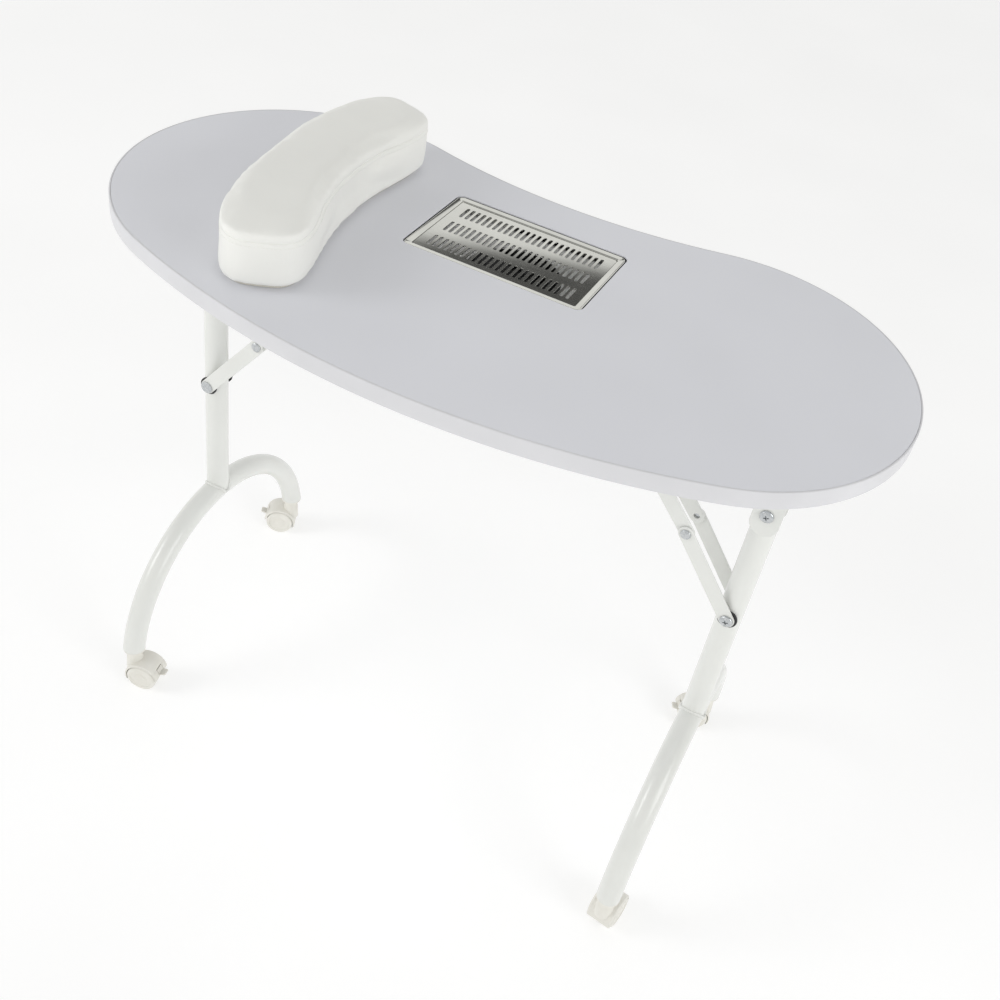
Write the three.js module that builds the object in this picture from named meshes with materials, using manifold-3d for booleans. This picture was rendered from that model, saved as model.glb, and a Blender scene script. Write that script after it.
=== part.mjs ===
// Portable folding manicure table: a kidney-shaped laminated top with a dust vent and fan,
// two folding legs on arched feet with casters, toggle braces and a loose padded armrest.
// Millimetres, +Z up. Origin: on the floor under the middle of the top.
// +X runs along the top, -Y is the customer's convex edge, +Y the technician's concave edge.
import * as THREE from 'three';
import { mergeVertices } from 'three/addons/utils/BufferGeometryUtils.js';
import Module from 'manifold-3d';

const wasm = await Module();
wasm.setup();

// ---- driving dimensions -------------------------------------------------------------------

// top
const topLength = 900;
const topWidth = 464;
const topHeight = 682;
const topThickness = 20;
const endRadius = 209;
const waistDip = 34;
const bandThickness = 2;
const bandRounding = 1.2;

// general clearances
const restGap = 0.3;
const pinGap = 0.3;

// vent in the top
const ventX = -6.5;
const ventY = 70.6;
const cutoutLength = 212;
const cutoutWidth = 136;
const cutoutCorner = 9;
const frameSideGap = 1.5;
const frameFrontGap = 0.5;
const frameBackGap = 2.3;
const gasketDrop = 1.5;
const gasketHeight = 6;
const rimWidth = 8;
const rimDrop = 0.4;
const steelSheet = 1.2;
const frameDepth = 17;
const ledgeWidth = 5;
const plateDrop = 2.2;
const frameInnerCorner = 1.5;
const plateCorner = 3;
const slotRows = 3;
const slotPitch = 6.9;
const slotWidth = 3.2;
const slotRowLand = 14.4;
const slotFrontMargin = 9.7;
const slotEndMargin = 12;

// fan box under the vent
const boxWall = 2;
const boxSideRoom = 3;
const boxDepth = 40;
const boxFlange = 12;
const outletRadius = 50;
const fanWall = 4;
const fanHeight = 27.7;
const fanHubRadius = 20;
const fanHubHeight = 17;
const fanTipGap = 2;
const fanBlades = 7;
const bladeChord = 24;
const bladeThickness = 1.6;
const bladePitch = 38;
const motorPlate = 5;
const strutCount = 3;
const strutWidth = 7;
const strutThickness = 4;
const strutTurn = 30;
const guardOverlap = 6;
const guardRimWidth = 9;
const guardBar = 2.4;
const guardThickness = 1.6;
const guardRings = [17.5, 35];
const guardTurn = 45;

// switch and power inlet in the front of the fan box
const controlSpacing = 140;
const controlDrop = 1;
const rockerLength = 19;
const rockerHeight = 13;
const rockerRise = 3.4;
const rockerWaist = 1.8;
const rockerTaper = 0.6;
const rockerKeel = 2.2;
const bezelLip = 2;
const bezelThickness = 2;
const bezelWall = 1;
const bezelDepth = 7.5;
const rockerWellDepth = 4;
const inletRadius = 6;
const inletCollar = 2.5;
const inletCollarThickness = 2;
const inletDepth = 11;
const socketRadius = 2.8;
const socketDepth = 8;
const contactRadius = 1;

// legs: the right leg is drawn, and the left one is the same leg turned half a turn
const legInset = 102;
const tubeRadius = 14.5;
const tubeWall = 1.5;
const foldPivotDrop = 113;
const postAbovePivot = 16;
const archRadius = 187;
const archCrownHeight = 215;
const archEndHeight = 62;
const bracketWidth = 32;
const bracketSheet = 2.5;
const bracketBelowPivot = 11;
const bracketFlangeX = 62;
const bracketFlangeY = 92;
const bracketWebLength = 85.7;
const pivotBoltRadius = 4;
const boltHeadRadius = 7.5;
const boltHeadHeight = 3.6;
const nutRadius = 7.2;
const nutHeight = 5.5;
const boltPastNut = 1.5;

// braces: each leg has one pair, a bar from the post and a link from the underside
const bracePivotDrop = 155;
const lowerBarLength = 117;
const lowerBarSlope = 51.8;
const upperLinkSlope = 48.5;
const anchorPinDrop = 21;
const barWidth = 18;
const barSheet = 2.5;
const spacerRadius = 11.5;
const anchorLengthX = 36;
const anchorWidthY = 58;
const anchorSheet = 2.5;
const anchorTaper = 6;
const anchorPinRadius = 3;
const pinHeadRadius = 5.5;
const pinHeadHeight = 2.2;
const kneeRivetRadius = 3.2;
const kneeHeadRadius = 6;
const kneeHeadHeight = 2.6;

// casters
const wheelRadius = 20;
const wheelWidth = 13.2;
const wheelEdge = 2;
const wheelDish = 1;
const wheelRim = 4;
const axleRadius = 3;
const casterTrail = 15;
const hoodWidth = 33;
const hoodThickness = 2.5;
const hoodLowAngle = 8;
const hoodBackAngle = 200;
const wheelToHood = 1;
const hubWall = 4;
const webThickness = 8;
const bossRadius = 9;
const stemRadius = 4;
const stemLength = 17.5;
const plugCollar = 3;
const plugInsert = 10;
const plugGap = 1.3;
const leverWidth = 11;
const leverReach = 8;
const leverLowAngle = 14;
const leverTopAngle = 36;
const leverTabAngle = 5;
const leverGap = 0.6;
const leverNotchDepth = 1.5;
// direction each wheel trails in, degrees about Z from +X
const trailing = { left_front: 12, left_back: 205, right_front: 82, right_back: 207 };

// armrest
const armrestX = -223.4;
const armrestY = 2.4;
const armrestTurn = 5.9;
const armrestLength = 369;
const armrestWidth = 116;
const armrestHeight = 64;
const armrestBoard = 3;
const armrestBoardInset = 4;
const cushionRounding = 5;
const armrestBendRadius = 472;
const armrestWaist = 7.6;
const armrestSquareness = 3.6;

// how finely curves are divided
const kidneySegments = 10;
const cornerSegments = 2;
const plateEndSegments = 6;
const archSteps = 20;
const archSegments = 6;
const fanSides = 28;
const guardSides = 24;
const tubeSides = 18;
const wheelSides = 20;
const stemSides = 16;
const pinSides = 14;
const boltSides = 10;
const nutSides = 6;
const contactSides = 8;
const beanSteps = 40;

// how far a cutting solid runs past what it cuts
const cutPast = 5;

// ---- materials ----------------------------------------------------------------------------

function finish(color, roughness, metalness) {
  return new THREE.MeshStandardMaterial({ color, roughness, metalness });
}

const topLaminate = () => finish(0xcdd0d4, 0.45, 0);
const whiteEdging = () => finish(0xe9e9e9, 0.35, 0);
const whitePowderCoat = () => finish(0xe2e2dd, 0.3, 0.1);
const polishedSteel = () => finish(0xc9c9c4, 0.15, 1);
const zincSteel = () => finish(0xb9babb, 0.3, 1);
const blackPlastic = () => finish(0x17181a, 0.5, 0);
const whitePlastic = () => finish(0xeeeeea, 0.4, 0);
const creamPlastic = () => finish(0xdedbd0, 0.45, 0);
const whiteLeatherette = () => finish(0xd8d9d4, 0.5, 0);
const blackRubber = () => finish(0x1d1d1d, 0.8, 0);
const armrestBoardWood = () => finish(0x9b8a70, 0.7, 0);

// ---- small helpers ------------------------------------------------------------------------

const table = new THREE.Group();
const radians = THREE.MathUtils.degToRad;

// A closed three.js geometry as a solid that can be joined and cut.
function solid(geometry) {
  const bare = geometry.clone();
  bare.deleteAttribute('normal');
  bare.deleteAttribute('uv');
  const merged = mergeVertices(bare, 1e-4);
  const corners = [];
  for (let i = 0; i < merged.index.count; i += 3) {
    const [a, b, c] = [0, 1, 2].map((k) => merged.index.getX(i + k));
    if (a !== b && b !== c && c !== a) corners.push(a, b, c);
  }
  return new wasm.Manifold(new wasm.Mesh({
    numProp: 3,
    vertProperties: new Float32Array(merged.attributes.position.array),
    triVerts: new Uint32Array(corners),
  }));
}

function geometryOf(body) {
  const mesh = body.getMesh();
  const geometry = new THREE.BufferGeometry();
  geometry.setAttribute('position', new THREE.BufferAttribute(mesh.vertProperties, 3));
  geometry.setIndex(new THREE.BufferAttribute(mesh.triVerts, 1));
  geometry.computeVertexNormals();
  return geometry;
}

function addPart(group, name, shape, material) {
  const geometry = shape.isBufferGeometry ? shape : geometryOf(shape);
  const mesh = new THREE.Mesh(geometry, material);
  mesh.name = name;
  group.add(mesh);
  return mesh;
}

function box(sizeX, sizeY, sizeZ, x, y, z) {
  return solid(new THREE.BoxGeometry(sizeX, sizeY, sizeZ).translate(x, y, z));
}

function uprightCylinder(radius, bottom, top, sides = tubeSides) {
  const shape = new THREE.CylinderGeometry(radius, radius, top - bottom, sides);
  return solid(shape.rotateX(Math.PI / 2).translate(0, 0, (bottom + top) / 2));
}

// An upright ring between two radii.
function uprightRing(outer, inner, bottom, top, sides) {
  const bore = uprightCylinder(inner, bottom - cutPast, top + cutPast, sides);
  return uprightCylinder(outer, bottom, top, sides).subtract(bore);
}

// A cylinder lying along Y between two distances from the XZ plane.
function crossCylinder(radius, yFrom, yTo, x, z, sides = pinSides) {
  const shape = new THREE.CylinderGeometry(radius, radius, yTo - yFrom, sides);
  return solid(shape.translate(x, (yFrom + yTo) / 2, z));
}

// A hole along Y right through whatever stands there.
function crossHole(radius, x, z, sides = boltSides) {
  return crossCylinder(radius, -bracketFlangeY, bracketFlangeY, x, z, sides);
}

function extruded(shape, bottom, top, curveSegments = 1) {
  const depth = top - bottom;
  const geometry = new THREE.ExtrudeGeometry(shape, { depth, bevelEnabled: false, curveSegments });
  return geometry.translate(0, 0, bottom);
}

// A flat piece drawn in X and Z, with its thickness along Y from yFrom to yTo.
function standing(shape, yFrom, yTo, curveSegments = plateEndSegments) {
  const flat = extruded(shape, -yTo, -yFrom, curveSegments);
  return solid(flat.rotateX(Math.PI / 2));
}

function roundedRectangle(length, width, corner) {
  const shape = new THREE.Shape();
  const x = length / 2 - corner;
  const y = width / 2 - corner;
  shape.absarc(x, y, corner, 0, Math.PI / 2);
  shape.absarc(-x, y, corner, Math.PI / 2, Math.PI);
  shape.absarc(-x, -y, corner, Math.PI, 1.5 * Math.PI);
  shape.absarc(x, -y, corner, 1.5 * Math.PI, 2 * Math.PI);
  shape.closePath();
  return shape;
}

function roundedBlock(length, width, corner, bottom, top) {
  return solid(extruded(roundedRectangle(length, width, corner), bottom, top, cornerSegments));
}

// ---- top board and edge band --------------------------------------------------------------

// Kidney outline of four tangent arcs: two ends, a long convex front and a concave back.
function kidney(inset) {
  const endX = topLength / 2 - endRadius;
  const endY = topWidth / 2 - endRadius;
  const frontRise = endY + topWidth / 2;
  const frontRadius = (endX ** 2 + frontRise ** 2 - endRadius ** 2) / (2 * (frontRise - endRadius));
  const frontCentreY = frontRadius - topWidth / 2;
  const backRise = endRadius - waistDip;
  const backRadius = (endX ** 2 + backRise ** 2 - endRadius ** 2) / (2 * waistDip);
  const backCentreY = endY + backRise + backRadius;
  const frontAngle = Math.atan2(endY - frontCentreY, endX);
  const backAngle = Math.atan2(backCentreY - endY, -endX);
  const shape = new THREE.Shape();
  shape.absarc(endX, endY, endRadius - inset, frontAngle, backAngle);
  shape.absarc(0, backCentreY, backRadius + inset, backAngle - Math.PI, -backAngle, true);
  shape.absarc(-endX, endY, endRadius - inset, Math.PI - backAngle, Math.PI - frontAngle);
  shape.absarc(0, frontCentreY, frontRadius - inset, Math.PI - frontAngle, 2 * Math.PI + frontAngle);
  return shape;
}

function kidneyBlock(inset, bottom, top) {
  return solid(extruded(kidney(inset), bottom, top, kidneySegments));
}

const underside = topHeight - topThickness;

function makeTop() {
  const board = kidneyBlock(bandThickness + restGap, underside, topHeight);
  const cutout = roundedBlock(cutoutLength, cutoutWidth, cutoutCorner, underside - cutPast,
    topHeight + cutPast);
  addPart(table, 'top_board', board.subtract(cutout.translate([ventX, ventY, 0])), topLaminate());

  const middle = kidneyBlock(0, underside + bandRounding, topHeight - bandRounding);
  const full = kidneyBlock(bandRounding, underside, topHeight);
  const inside = kidneyBlock(bandThickness, underside - cutPast, topHeight + cutPast);
  addPart(table, 'edge_band', middle.add(full).subtract(inside), whiteEdging());
}

// ---- vent: gasket, frame and slotted plate ------------------------------------------------

const frameLength = cutoutLength - 2 * frameSideGap;
const frameWidth = cutoutWidth - frameFrontGap - frameBackGap;
const frameY = ventY + (frameFrontGap - frameBackGap) / 2;
const frameCorner = cutoutCorner - frameSideGap;
const frameTop = topHeight - rimDrop;
const frameBottom = topHeight - frameDepth;
const plateTop = topHeight - plateDrop;
const ledgeTop = plateTop - steelSheet - restGap;

// A ring between two rounded rectangles that are inset from the frame's outer edge.
function frameRing(outerInset, innerInset, bottom, top) {
  const block = (inset, low, high) => roundedBlock(frameLength - 2 * inset, frameWidth - 2 * inset,
    Math.max(frameCorner - inset, frameInnerCorner), low, high);
  return block(outerInset, bottom, top).subtract(block(innerInset, bottom - cutPast, top + cutPast));
}

function makeVent() {
  // the frame sits hard against the front of the cut-out, so the gasket only fills three sides
  const gasketTop = topHeight - gasketDrop;
  const gasketBottom = gasketTop - gasketHeight;
  const gasket = roundedBlock(cutoutLength - 2 * restGap, cutoutWidth - 2 * restGap,
    cutoutCorner - restGap, gasketBottom, gasketTop).translate([ventX, ventY, 0]);
  const frameRoom = roundedBlock(frameLength + 2 * restGap, frameWidth + 2 * restGap,
    frameCorner + restGap, gasketBottom - cutPast, gasketTop + cutPast).translate([ventX, frameY, 0]);
  addPart(table, 'vent_gasket', gasket.subtract(frameRoom), blackRubber());

  const rim = frameRing(0, rimWidth, frameTop - steelSheet, frameTop);
  const outerWall = frameRing(0, steelSheet, frameBottom, frameTop);
  const innerWall = frameRing(rimWidth - steelSheet, rimWidth, ledgeTop - steelSheet, frameTop);
  const ledge = frameRing(rimWidth - steelSheet, rimWidth + ledgeWidth, ledgeTop - steelSheet, ledgeTop);
  const frame = rim.add(outerWall).add(innerWall).add(ledge);
  addPart(table, 'vent_frame', frame.translate([ventX, frameY, 0]), polishedSteel());

  const plateLength = frameLength - 2 * (rimWidth + restGap);
  const plateWidth = frameWidth - 2 * (rimWidth + restGap);
  const plate = roundedRectangle(plateLength, plateWidth, plateCorner);
  const slotColumns = Math.floor((plateLength - 2 * slotEndMargin) / slotPitch) + 1;
  const slotLands = 2 * slotFrontMargin + (slotRows - 1) * slotRowLand;
  const slotLength = (plateWidth - slotLands) / slotRows;
  const slotEnd = (slotLength - slotWidth) / 2;
  for (let row = 0; row < slotRows; row += 1) {
    for (let column = 0; column < slotColumns; column += 1) {
      const x = (column - (slotColumns - 1) / 2) * slotPitch;
      const y = (row - (slotRows - 1) / 2) * (slotLength + slotRowLand);
      const slot = new THREE.Path();
      slot.absarc(x, y + slotEnd, slotWidth / 2, 0, Math.PI);
      slot.absarc(x, y - slotEnd, slotWidth / 2, Math.PI, 2 * Math.PI);
      slot.closePath();
      plate.holes.push(slot);
    }
  }
  const sheet = solid(extruded(plate, plateTop - steelSheet, plateTop));
  addPart(table, 'vent_plate', sheet.translate([ventX, frameY, 0]), polishedSteel());
}

// ---- fan box, fan and controls ------------------------------------------------------------

const boxTop = underside - restGap;
const boxBottom = underside - boxDepth;
const boxFloor = boxBottom + boxWall;
const boxLength = cutoutLength + 2 * (boxSideRoom + boxWall);
const boxWidth = cutoutWidth + 2 * (boxSideRoom + boxWall);
const boxFrontY = ventY - boxWidth / 2;
const controlHeight = (boxTop + boxBottom) / 2 - controlDrop;
const inletX = ventX - controlSpacing / 2;
const switchX = ventX + controlSpacing / 2;
const bezelHoleX = rockerLength + 2 * (pinGap + bezelWall);
const bezelHoleZ = rockerHeight + 2 * (pinGap + bezelWall);
const fanOuterRadius = outletRadius + fanWall;

function makeFanBox() {
  const centred = (block) => block.translate([ventX, ventY, 0]);
  const corner = cutoutCorner + boxSideRoom;
  const flange = roundedBlock(boxLength, boxWidth + 2 * boxFlange, corner, boxTop - boxWall, boxTop);
  const outside = roundedBlock(boxLength, boxWidth, corner, boxBottom, boxTop);
  const inside = roundedBlock(boxLength - 2 * boxWall, boxWidth - 2 * boxWall, corner - boxWall,
    boxFloor, boxTop + cutPast);
  const outlet = uprightCylinder(outletRadius, boxBottom - cutPast, boxFloor + cutPast, fanSides);
  const switchHole = box(bezelHoleX, 2 * cutPast, bezelHoleZ, switchX, boxFrontY, controlHeight);
  const inletHole = crossCylinder(inletRadius + pinGap, boxFrontY - cutPast, boxFrontY + cutPast,
    inletX, controlHeight);
  const shell = centred(flange.add(outside).subtract(inside).subtract(outlet));
  addPart(table, 'fan_box', shell.subtract(switchHole).subtract(inletHole), whitePlastic());
}

function makeFan() {
  const bottom = boxFloor + restGap;
  const top = bottom + fanHeight;
  let frame = uprightRing(fanOuterRadius, outletRadius, bottom, top, fanSides);
  frame = frame.add(uprightCylinder(fanHubRadius, bottom, bottom + motorPlate));
  const armLength = outletRadius + fanWall / 4;
  const arm = box(armLength, strutWidth, strutThickness, armLength / 2, 0, bottom + motorPlate / 2);
  for (let strut = 0; strut < strutCount; strut += 1) {
    frame = frame.add(arm.rotate([0, 0, (strut * 360) / strutCount + strutTurn]));
  }
  addPart(table, 'fan_frame', frame.translate([ventX, ventY, 0]), blackPlastic());

  const hubBottom = bottom + motorPlate + restGap;
  const sweep = outletRadius - fanTipGap;
  let rotor = uprightCylinder(fanHubRadius, hubBottom, hubBottom + fanHubHeight);
  for (let blade = 0; blade < fanBlades; blade += 1) {
    const wing = box(sweep, bladeChord, bladeThickness, sweep / 2, 0, 0).rotate([bladePitch, 0, 0]);
    const placed = wing.translate([0, 0, hubBottom + fanHubHeight / 2]);
    rotor = rotor.add(placed.rotate([0, 0, (blade * 360) / fanBlades]));
  }
  rotor = rotor.intersect(uprightCylinder(sweep, hubBottom, hubBottom + fanHubHeight, fanSides));
  addPart(table, 'fan_rotor', rotor.translate([ventX, ventY, 0]), blackPlastic());
}

// Flat finger guard under the outlet: rings joined by four spokes and a screwed rim.
function makeFanGuard() {
  const top = boxBottom - restGap;
  const bottom = top - guardThickness;
  const rimRadius = outletRadius + guardOverlap;
  const ring = (radius, width) => uprightRing(radius, radius - width, bottom, top, guardSides);
  let guard = ring(rimRadius, guardRimWidth);
  for (const radius of guardRings) {
    guard = guard.add(ring(radius, guardBar));
  }
  const spoke = box(2 * outletRadius + guardOverlap, guardBar, guardThickness, 0, 0, (top + bottom) / 2);
  for (const turn of [guardTurn, guardTurn + 90]) {
    guard = guard.add(spoke.rotate([0, 0, turn]));
  }
  addPart(table, 'fan_guard', guard.translate([ventX, ventY, 0]), blackPlastic());
}

function makeControls() {
  const face = boxFrontY - restGap;
  const block = (sizeX, sizeZ, yFrom, yTo) => box(
    sizeX, yTo - yFrom, sizeZ, switchX, (yFrom + yTo) / 2, controlHeight);
  const lip = block(bezelHoleX + 2 * bezelLip, bezelHoleZ + 2 * bezelLip, face - bezelThickness, face);
  const sleeve = block(bezelHoleX - 2 * pinGap, bezelHoleZ - 2 * pinGap, face - bezelThickness / 2,
    face + bezelDepth);
  const well = block(rockerLength, rockerHeight, face - cutPast, face + rockerWellDepth);
  addPart(table, 'switch_bezel', lip.add(sleeve).subtract(well), blackPlastic());

  const rockerX = rockerLength / 2 - pinGap;
  const rocker = new THREE.Shape();
  rocker.moveTo(-rockerX, 0);
  rocker.lineTo(-rockerX + rockerTaper, -rockerRise);
  rocker.lineTo(0, -rockerWaist);
  rocker.lineTo(rockerX - rockerTaper, -rockerRise);
  rocker.lineTo(rockerX, 0);
  rocker.lineTo(0, rockerKeel);
  const half = rockerHeight / 2 - pinGap;
  const paddle = solid(extruded(rocker, controlHeight - half, controlHeight + half));
  addPart(table, 'switch_rocker', paddle.translate([switchX, face, 0]), blackPlastic());

  const front = face - inletCollarThickness;
  const turned = (radius, yFrom, yTo, sides) => crossCylinder(
    radius, yFrom, yTo, inletX, controlHeight, sides);
  const collar = turned(inletRadius + inletCollar, front, face);
  const barrel = turned(inletRadius, front + contactRadius, face + inletDepth);
  const socket = turned(socketRadius, front - cutPast, face + socketDepth, stemSides);
  const contact = turned(contactRadius, front + contactRadius, face + socketDepth + contactRadius,
    contactSides);
  addPart(table, 'power_inlet', collar.add(barrel).subtract(socket).add(contact), blackPlastic());
}

// ---- legs ---------------------------------------------------------------------------------

const postX = topLength / 2 - legInset;
const foldPivotHeight = underside - foldPivotDrop;
const bracePivotHeight = foldPivotHeight - bracePivotDrop;
const anchorPinHeight = underside - anchorPinDrop;
const archCentreHeight = archCrownHeight - archRadius;
const archEndY = Math.sqrt(archRadius ** 2 - (archEndHeight - archCentreHeight) ** 2);
const archLean = Math.asin((archEndHeight - archCentreHeight) / archRadius);
const archReach = Math.acos((archEndHeight - tubeRadius / 2 - archCentreHeight) / archRadius);

// Centre line of an arched foot, from one end to the other, past the height where it is cut.
class ArchLine extends THREE.Curve {
  getPoint(t, target = new THREE.Vector3()) {
    const angle = (2 * t - 1) * archReach;
    return target.set(0, archRadius * Math.sin(angle), archCentreHeight + archRadius * Math.cos(angle));
  }
}

function archRod(radius) {
  const section = new THREE.Shape();
  section.absarc(0, 0, radius, 0, 2 * Math.PI);
  const rod = new THREE.ExtrudeGeometry(section, {
    steps: archSteps, curveSegments: archSegments, bevelEnabled: false, extrudePath: new ArchLine(),
  });
  return solid(rod);
}

function makeFoot(leg, side) {
  const floorBlock = box(4 * tubeRadius, 3 * archRadius, archEndHeight, 0, 0, archEndHeight / 2);
  const tube = archRod(tubeRadius).subtract(archRod(tubeRadius - tubeWall)).subtract(floorBlock);
  addPart(leg, `${side}_foot`, tube, whitePowderCoat());
}

function makePost(leg, side) {
  const top = foldPivotHeight + postAbovePivot;
  let post = uprightRing(tubeRadius, tubeRadius - tubeWall, archCrownHeight, top, tubeSides);
  post = post.subtract(archRod(tubeRadius + restGap));
  for (const height of [foldPivotHeight, bracePivotHeight]) {
    post = post.subtract(crossHole(pivotBoltRadius + pinGap, 0, height));
  }
  addPart(leg, `${side}_post`, post, whitePowderCoat());
}

// Layers outward from the post's side: upper link and bracket cheek, then lower bar.
const linkInside = tubeRadius + restGap;
const linkOutside = linkInside + barSheet;
const barInside = linkOutside + restGap;
const barOutside = barInside + barSheet;
const cheekOutside = linkInside + bracketSheet;

// Hanger under the top: a screwed flange, two cheeks and a web behind the post.
function makeBracket(leg, side) {
  const top = underside - restGap;
  const lowEnd = foldPivotHeight - bracketBelowPivot;
  const half = bracketWidth / 2;
  const cheekShape = new THREE.Shape();
  cheekShape.moveTo(half, top);
  cheekShape.lineTo(-half, top);
  cheekShape.lineTo(-half, lowEnd);
  cheekShape.absarc(0, lowEnd, half, Math.PI, 2 * Math.PI);
  cheekShape.closePath();
  const flange = box(bracketFlangeX, bracketFlangeY, bracketSheet, 0, 0, top - bracketSheet / 2);
  const webX = half - bracketSheet / 2;
  const web = box(bracketSheet, 2 * cheekOutside, bracketWebLength, webX, 0, top - bracketWebLength / 2);
  let bracket = flange.add(web);
  bracket = bracket.add(standing(cheekShape, -cheekOutside, -linkInside));
  bracket = bracket.add(standing(cheekShape, linkInside, cheekOutside));
  const hole = crossHole(pivotBoltRadius + pinGap, 0, foldPivotHeight);
  addPart(leg, `${side}_bracket`, bracket.subtract(hole), whitePowderCoat());
}

// A bolt along Y with a domed head in front and a hexagon nut behind.
function crossBolt(gripHalf, height) {
  const inside = gripHalf + restGap;
  const dome = new THREE.LatheGeometry([
    new THREE.Vector2(0, 0), new THREE.Vector2(boltHeadRadius, 0),
    new THREE.Vector2(boltHeadRadius, boltHeadHeight * 0.3),
    new THREE.Vector2(boltHeadRadius * 0.8, boltHeadHeight * 0.75),
    new THREE.Vector2(boltHeadRadius * 0.4, boltHeadHeight), new THREE.Vector2(0, boltHeadHeight),
  ], pinSides);
  const head = solid(dome.rotateX(Math.PI)).translate([0, -inside, height]);
  const shank = crossCylinder(pivotBoltRadius, -inside - boltHeadHeight / 4,
    inside + nutHeight + boltPastNut, 0, height, boltSides);
  const nut = crossCylinder(nutRadius, inside, inside + nutHeight, 0, height, nutSides);
  return head.add(shank).add(nut);
}

const kneeX = -lowerBarLength * Math.cos(radians(lowerBarSlope));
const kneeHeight = bracePivotHeight + lowerBarLength * Math.sin(radians(lowerBarSlope));
const upperLinkLength = (anchorPinHeight - kneeHeight) / Math.sin(radians(upperLinkSlope));
const anchorX = kneeX - upperLinkLength * Math.cos(radians(upperLinkSlope));

// A flat bar with round ends and a hole at each end, drawn from its first pivot along +X.
function flatBar(length, firstHole, secondHole) {
  const half = barWidth / 2;
  const shape = new THREE.Shape();
  shape.absarc(0, 0, half, Math.PI / 2, 1.5 * Math.PI);
  shape.absarc(length, 0, half, -Math.PI / 2, Math.PI / 2);
  shape.closePath();
  for (const [x, radius] of [[0, firstHole], [length, secondHole]]) {
    const hole = new THREE.Path();
    hole.absarc(x, 0, radius, 0, 2 * Math.PI);
    shape.holes.push(hole);
  }
  return shape;
}

function makeBraces(leg, side, frontSign) {
  for (const sign of [-1, 1]) {
    const place = sign * frontSign < 0 ? 'front' : 'back';
    const span = (inside, outside) => (sign < 0 ? [-outside, -inside] : [inside, outside]);

    const spacerSpan = span(linkInside, linkOutside);
    const spacer = crossCylinder(spacerRadius, ...spacerSpan, 0, bracePivotHeight)
      .subtract(crossHole(pivotBoltRadius + pinGap, 0, bracePivotHeight));
    addPart(leg, `${side}_${place}_spacer`, spacer, blackPlastic());

    const barShape = flatBar(lowerBarLength, pivotBoltRadius + pinGap, kneeRivetRadius + pinGap);
    const bar = standing(barShape, ...span(barInside, barOutside));
    const barMesh = addPart(leg, `${side}_${place}_lower_bar`, bar, whitePowderCoat());
    barMesh.position.set(0, 0, bracePivotHeight);
    barMesh.rotation.y = -radians(180 - lowerBarSlope);

    const linkShape = flatBar(upperLinkLength, anchorPinRadius + pinGap, kneeRivetRadius + pinGap);
    const link = standing(linkShape, ...span(linkInside, linkOutside));
    const linkMesh = addPart(leg, `${side}_${place}_upper_link`, link, whitePowderCoat());
    linkMesh.position.set(anchorX, 0, anchorPinHeight);
    linkMesh.rotation.y = radians(upperLinkSlope);

    const head = barOutside + restGap;
    const shank = crossCylinder(kneeRivetRadius, ...span(barInside, head + kneeHeadHeight / 2),
      kneeX, kneeHeight, boltSides);
    const cap = crossCylinder(kneeHeadRadius, ...span(head, head + kneeHeadHeight), kneeX, kneeHeight);
    addPart(leg, `${side}_${place}_knee_rivet`, shank.add(cap), zincSteel());
  }
}

function makeAnchor(leg, side) {
  const top = underside - restGap;
  const cheekEnd = linkInside - restGap;
  const half = anchorLengthX / 2 - anchorTaper;
  const cheek = new THREE.Shape();
  cheek.moveTo(half, top);
  cheek.lineTo(-half, top);
  cheek.lineTo(-barWidth / 2, anchorPinHeight);
  cheek.absarc(0, anchorPinHeight, barWidth / 2, Math.PI, 2 * Math.PI);
  cheek.closePath();
  let anchor = box(anchorLengthX, anchorWidthY, anchorSheet, 0, 0, top - anchorSheet / 2);
  anchor = anchor.add(standing(cheek, -cheekEnd, anchorSheet - cheekEnd));
  anchor = anchor.add(standing(cheek, cheekEnd - anchorSheet, cheekEnd));
  const hole = crossHole(anchorPinRadius + pinGap, 0, anchorPinHeight);
  anchor = anchor.subtract(hole).translate([anchorX, 0, 0]);
  addPart(leg, `${side}_anchor`, anchor, whitePowderCoat());

  const head = linkOutside + restGap;
  const pinEnd = head + pinHeadHeight / 2;
  const pin = crossCylinder(anchorPinRadius, -pinEnd, pinEnd, anchorX, anchorPinHeight, boltSides)
    .add(crossCylinder(pinHeadRadius, head, head + pinHeadHeight, anchorX, anchorPinHeight))
    .add(crossCylinder(pinHeadRadius, -head - pinHeadHeight, -head, anchorX, anchorPinHeight));
  addPart(leg, `${side}_anchor_pin`, pin, zincSteel());
}

// ---- casters ------------------------------------------------------------------------------

const collarTop = archEndHeight - restGap;
const collarBottom = collarTop - plugCollar;
const bossTop = collarBottom - restGap;

// Plug in the tube's leaning end, with a level collar and an upright steel stem.
function plugShape(outward) {
  const insert = uprightCylinder(tubeRadius - tubeWall - plugGap, -plugCollar / 2, plugInsert)
    .rotate([outward * THREE.MathUtils.radToDeg(archLean), 0, 0])
    .translate([0, 0, collarTop]);
  return insert
    .add(uprightCylinder(tubeRadius, collarBottom, collarTop))
    .add(uprightCylinder(stemRadius, bossTop - stemLength, collarBottom + plugCollar / 2, stemSides));
}

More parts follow.
